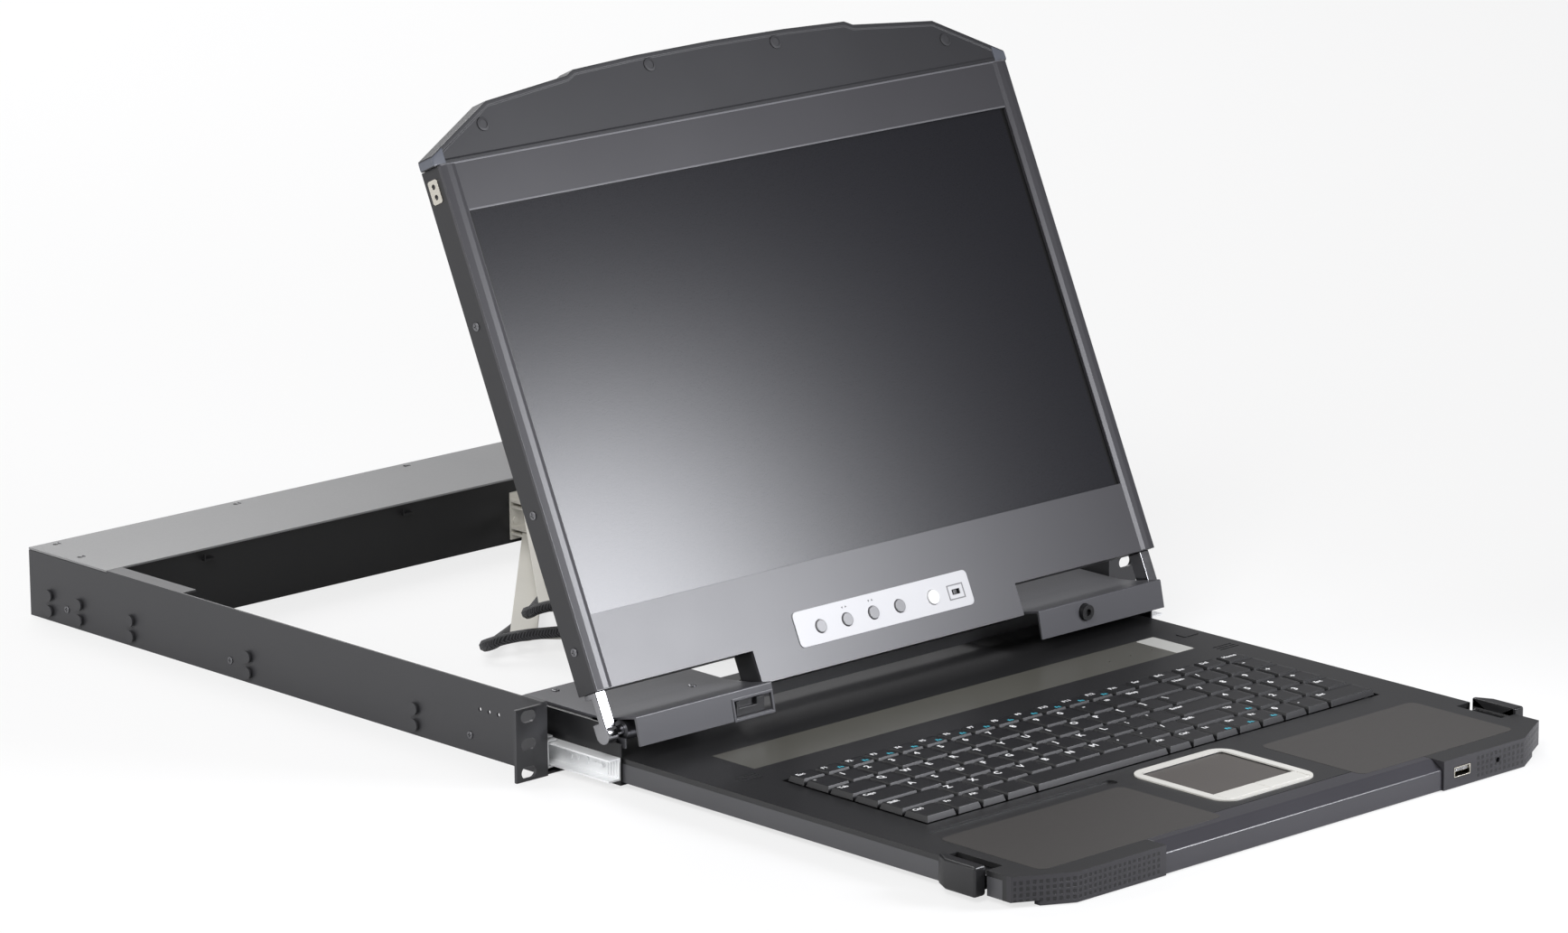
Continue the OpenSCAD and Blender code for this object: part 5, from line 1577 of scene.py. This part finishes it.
def cable_sleeve(arm, end, body):
    """The braided cable along one link, with a gland where it leaves the link."""
    height = arm.heights[end]
    way = arm.ways[end]
    short_of_pivot = 26 * MM
    stop = arm.length - short_of_pivot
    steps = [LOOP_START + (stop - LOOP_START) * i / 8 for i in range(9)]
    points = [arm.place(end, step, 0, height) for step in steps]
    run = tube(f"{arm.name}_{end}_sleeve", points, arm.radius)
    put(run, body, LOOKS["braid"], "cable_braid", f"{arm.name}_{end}_cable")
    gland_radius = arm.radius * 1.2
    gland_long = 9 * MM
    gland_in = 1 * MM
    gland_edge = 0.8 * MM
    middle = arm.place(end, stop - gland_in, 0, height)
    turn = (math.pi / 2, 0, math.atan2(way.y, way.x) - math.pi / 2)
    gland = rod(f"{arm.name}_{end}_gland", gland_radius, gland_long, middle, turn, 24)
    soften(gland, gland_edge, 3)
    put(gland, body, LOOKS["small_black"], "cable_braid")


def elbow_loop(arm):
    """The loose loop of cable over an elbow, which follows both links."""
    foot = arm.heights["rear"]
    rise = arm.heights["front"] - foot
    room = LOOP_ROOM[arm.name]
    path = []
    for end, points in LOOP_POINTS.items():
        for along, out, share in points:
            path.append(arm.place(end, along * MM, out * room * MM, foot + rise * share))
    loop = tube(f"{arm.name}_elbow_loop", path, arm.radius)
    loop.data.materials.append(LOOKS["braid"])
    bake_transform(loop)


# Route of a cable's loose loop over an elbow. Each point has a distance from the elbow along
# the link and one to the left of it, in millimetres, and a share of the rise between cables.
LOOP_POINTS = {
    "rear": ((62, 0, 0), (44, 6, 0), (26, 16, 0.03), (10, 25, 0.15), (0, 28, 0.5)),
    "front": ((10, 22, 0.85), (26, 11, 0.97), (44, 3, 1), (62, 0, 1)),
}
LOOP_START = LOOP_POINTS["rear"][0][0] * MM
# Share of those distances to the left for which each arm has room when it is folded
LOOP_ROOM = {"screen": 0.66, "keyboard": 1.0}


def arm_pieces(context):
    """Cable arm plates, the braided cables, and the loose loop of each at the elbow."""
    plate_edge = 0.3 * MM
    for name in ("screen", "keyboard"):
        for end in ("rear", "front"):
            softened(f"{name}_{end}_link", plate_edge, LOOKS["arm"])
        arm = Arm(name, context.scene.console_sizes.cable)
        cable_sleeve(arm, "rear", f"{name}_arm_rear")
        cable_sleeve(arm, "front", f"{name}_arm_front")
        elbow_loop(arm)


def stage(context):
    """Floor, world, lamps and the camera at the viewing angle."""
    lay_floor()
    light_world()
    hang_lamps()
    place_camera()
    bpy.context.scene.view_settings.view_transform = "Standard"


def lay_floor():
    """A pale floor that keeps the console's shadow and goes nearly white to the camera."""
    wide = 40
    below_foot = 0.05 * MM
    white_share = 0.72
    pick()
    bpy.ops.mesh.primitive_plane_add(size=wide, location=(0, 0, UNDERSIDE - below_foot))
    floor = bpy.context.object
    floor.name = "floor"
    look = Look("floor_white")
    look.set("Base Color", (0.86, 0.86, 0.86, 1.0))
    look.set("Roughness", 0.9)
    light = look.node("ShaderNodeLightPath", output="Is Camera Ray")
    glow = look.tree.nodes.new("ShaderNodeEmission")
    glow.inputs["Color"].default_value = (1, 1, 1, 1)
    blend = look.tree.nodes.new("ShaderNodeMixShader")
    look.tree.links.new((light * white_share).socket, blend.inputs[0])
    look.tree.links.new(look.shader.outputs[0], blend.inputs[1])
    look.tree.links.new(glow.outputs[0], blend.inputs[2])
    look.tree.links.new(blend.outputs[0], look.output.inputs["Surface"])
    floor.data.materials.append(look.material)


def light_world():
    """Grey all-round light, which the camera sees as white."""
    world = bpy.data.worlds.new("studio")
    bpy.context.scene.world = world
    world.use_nodes = True
    tree = world.node_tree
    ground = tree.nodes["Background"]
    path = tree.nodes.new("ShaderNodeLightPath")
    mix = tree.nodes.new("ShaderNodeMix")
    mix.data_type = "RGBA"
    mix.inputs[6].default_value = (0.27, 0.27, 0.28, 1)
    mix.inputs[7].default_value = (1, 1, 1, 1)
    tree.links.new(path.outputs["Is Camera Ray"], mix.inputs[0])
    tree.links.new(mix.outputs[2], ground.inputs["Color"])


def hang_lamps():
    """A small panel whose reflection lies on the screen, and three large soft panels."""
    cool = (0.94, 0.95, 1.0)
    plain = (1, 1, 1)
    lamps = [
        ("front_panel", (0.42, -0.78, 0.42), (-0.24, -0.02, 0.12), 0.3, 2.2, 80, cool),
        ("key_panel", (-2.4, -1.2, 2.6), (0, 0, 0.1), 1.6, 70.0, 180, plain),
        ("rear_panel", (1.0, 2.8, 2.2), (0, 0.1, 0.1), 1.8, 60.0, 180, plain),
        ("left_panel", (-3.0, 1.4, 1.2), (0, 0.1, 0.1), 1.4, 34.0, 180, plain),
    ]
    for name, place, aim, size, power, spread, colour in lamps:
        lamp = bpy.data.lights.new(name, "AREA")
        lamp.shape = "SQUARE"
        lamp.size = size
        lamp.energy = power
        lamp.spread = math.radians(spread)
        lamp.color = colour
        item = bpy.data.objects.new(name, lamp)
        item.location = place
        item.rotation_euler = (Vector(aim) - Vector(place)).to_track_quat("-Z", "Y").to_euler()
        bpy.context.scene.collection.objects.link(item)


def place_camera():
    """The camera, as fitted to the rack ears, the side panel and the lid's edges."""
    azimuth = math.radians(-43.168)
    height = math.radians(14.699)
    roll = math.radians(-0.35)
    distance = 3.72912
    target = Vector((-0.10457, -0.1, 0.13584 + UNDERSIDE))
    frame_wide = 1736
    frame_high = 1033
    focal_pixels = 7604.95
    centre_across = 912.32
    centre_down = 588.49
    back = Vector(
        (
            math.sin(azimuth) * math.cos(height),
            -math.cos(azimuth) * math.cos(height),
            math.sin(height),
        )
    )
    right = (-back).cross(Vector((0, 0, 1))).normalized()
    up = right.cross(-back)
    turned_right = math.cos(roll) * right + math.sin(roll) * up
    turned_up = math.cos(roll) * up - math.sin(roll) * right
    camera = bpy.data.cameras.new("view")
    camera.sensor_width = 36
    camera.lens = focal_pixels / frame_wide * camera.sensor_width
    camera.shift_x = (frame_wide / 2 - centre_across) / frame_wide
    camera.shift_y = (centre_down - frame_high / 2) / frame_wide
    camera.clip_end = 100
    item = bpy.data.objects.new("view", camera)
    turn = Matrix((turned_right, turned_up, back)).transposed().to_4x4()
    item.matrix_world = Matrix.Translation(target + back * distance) @ turn
    bpy.context.scene.collection.objects.link(item)
    bpy.context.scene.camera = item


# Operators


class CONSOLE_OT_finishes(bpy.types.Operator):
    """Make the finishes and give them to the solids"""

    bl_idname = "console.finishes"
    bl_label = "Finishes"

    def execute(self, context):
        make_looks(context.scene.console_colours)
        dress_nodes(context)
        return {"FINISHED"}


class CONSOLE_OT_chassis(bpy.types.Operator):
    """Side panels, rear housing, rear cover and slide rails"""

    bl_idname = "console.chassis"
    bl_label = "Chassis"

    def execute(self, context):
        chassis_shells(context)
        return {"FINISHED"}


class CONSOLE_OT_rails(bpy.types.Operator):
    """Pressings of the slide rails"""

    bl_idname = "console.rails"
    bl_label = "Rail details"

    def execute(self, context):
        rail_details(context)
        return {"FINISHED"}


class CONSOLE_OT_screws(bpy.types.Operator):
    """Screw heads and the lid's side plates"""

    bl_idname = "console.screws"
    bl_label = "Screws"

    def execute(self, context):
        screws(context)
        return {"FINISHED"}


class CONSOLE_OT_carrier(bpy.types.Operator):
    """Hinge covers, brackets and hinge arms"""

    bl_idname = "console.carrier"
    bl_label = "Screen carrier"

    def execute(self, context):
        hinge_sheets(context)
        return {"FINISHED"}


class CONSOLE_OT_catch(bpy.types.Operator):
    """Slider and stud in the flaps"""

    bl_idname = "console.catch"
    bl_label = "Flap catch"

    def execute(self, context):
        flap_catch(context)
        return {"FINISHED"}


class CONSOLE_OT_lid(bpy.types.Operator):
    """Lid shells and side trims"""

    bl_idname = "console.lid"
    bl_label = "Lid"

    def execute(self, context):
        lid_shells(context)
        side_trims(context)
        painted_highlight_lines(context)
        return {"FINISHED"}


class CONSOLE_OT_upper_handle(bpy.types.Operator):
    """Upper handle with its bumpers"""

    bl_idname = "console.upper_handle"
    bl_label = "Upper handle"

    def execute(self, context):
        upper_handle(context)
        return {"FINISHED"}


class CONSOLE_OT_controls(bpy.types.Operator):
    """Control plate, buttons and switch"""

    bl_idname = "console.controls"
    bl_label = "Screen controls"

    def execute(self, context):
        controls(context)
        return {"FINISHED"}


class CONSOLE_OT_tray(bpy.types.Operator):
    """Tray, deck, lower handle and side catches"""

    bl_idname = "console.tray"
    bl_label = "Keyboard tray"

    def execute(self, context):
        tray_shells(context)
        return {"FINISHED"}


class CONSOLE_OT_panels(bpy.types.Operator):
    """Palm panels and small fittings on the deck"""

    bl_idname = "console.panels"
    bl_label = "Palm panels"

    def execute(self, context):
        palm_panels(context)
        strip_fittings(context)
        return {"FINISHED"}


class CONSOLE_OT_keyboard(bpy.types.Operator):
    """Key caps and legends"""

    bl_idname = "console.keyboard"
    bl_label = "Keys"

    def execute(self, context):
        keyboard(context)
        return {"FINISHED"}


class CONSOLE_OT_touchpad(bpy.types.Operator):
    """Touchpad frame, surface and buttons"""

    bl_idname = "console.touchpad"
    bl_label = "Touchpad"

    def execute(self, context):
        touchpad(context)
        return {"FINISHED"}


class CONSOLE_OT_sockets(bpy.types.Operator):
    """Front socket, rear connectors and power inlet"""

    bl_idname = "console.sockets"
    bl_label = "Sockets"

    def execute(self, context):
        sockets(context)
        return {"FINISHED"}


class CONSOLE_OT_arms(bpy.types.Operator):
    """Cable arms with their braided cables"""

    bl_idname = "console.arms"
    bl_label = "Cable arms"

    def execute(self, context):
        arm_pieces(context)
        return {"FINISHED"}


class CONSOLE_OT_stage(bpy.types.Operator):
    """Floor, lamps, world and camera"""

    bl_idname = "console.stage"
    bl_label = "Stage"

    def execute(self, context):
        stage(context)
        return {"FINISHED"}


OPERATORS = (
    CONSOLE_OT_finishes,
    CONSOLE_OT_stage,
    CONSOLE_OT_chassis,
    CONSOLE_OT_rails,
    CONSOLE_OT_screws,
    CONSOLE_OT_carrier,
    CONSOLE_OT_catch,
    CONSOLE_OT_lid,
    CONSOLE_OT_upper_handle,
    CONSOLE_OT_controls,
    CONSOLE_OT_tray,
    CONSOLE_OT_panels,
    CONSOLE_OT_keyboard,
    CONSOLE_OT_touchpad,
    CONSOLE_OT_sockets,
    CONSOLE_OT_arms,
)


class CONSOLE_PT_panel(bpy.types.Panel):
    """Buttons for each group of pieces, and the sizes and colours"""

    bl_idname = "CONSOLE_PT_panel"
    bl_label = "Rack console"
    bl_space_type = "VIEW_3D"
    bl_region_type = "UI"
    bl_category = "Console"

    def draw(self, context):
        for operator in OPERATORS:
            self.layout.operator(operator.bl_idname)
        for group in (context.scene.console_sizes, context.scene.console_colours):
            for name in group.bl_rna.properties.keys():
                if name not in ("rna_type", "name"):
                    self.layout.prop(group, name)


CLASSES = (ConsoleSizes, ConsoleColours, *OPERATORS, CONSOLE_PT_panel)


def register():
    for item in CLASSES:
        bpy.utils.register_class(item)
    bpy.types.Scene.console_sizes = bpy.props.PointerProperty(type=ConsoleSizes)
    bpy.types.Scene.console_colours = bpy.props.PointerProperty(type=ConsoleColours)


def unregister():
    del bpy.types.Scene.console_colours
    del bpy.types.Scene.console_sizes
    for item in reversed(CLASSES):
        bpy.utils.unregister_class(item)


def main():
    register()
    for operator in OPERATORS:
        group, name = operator.bl_idname.split(".")
        getattr(getattr(bpy.ops, group), name)()


if __name__ == "__main__":
    main()
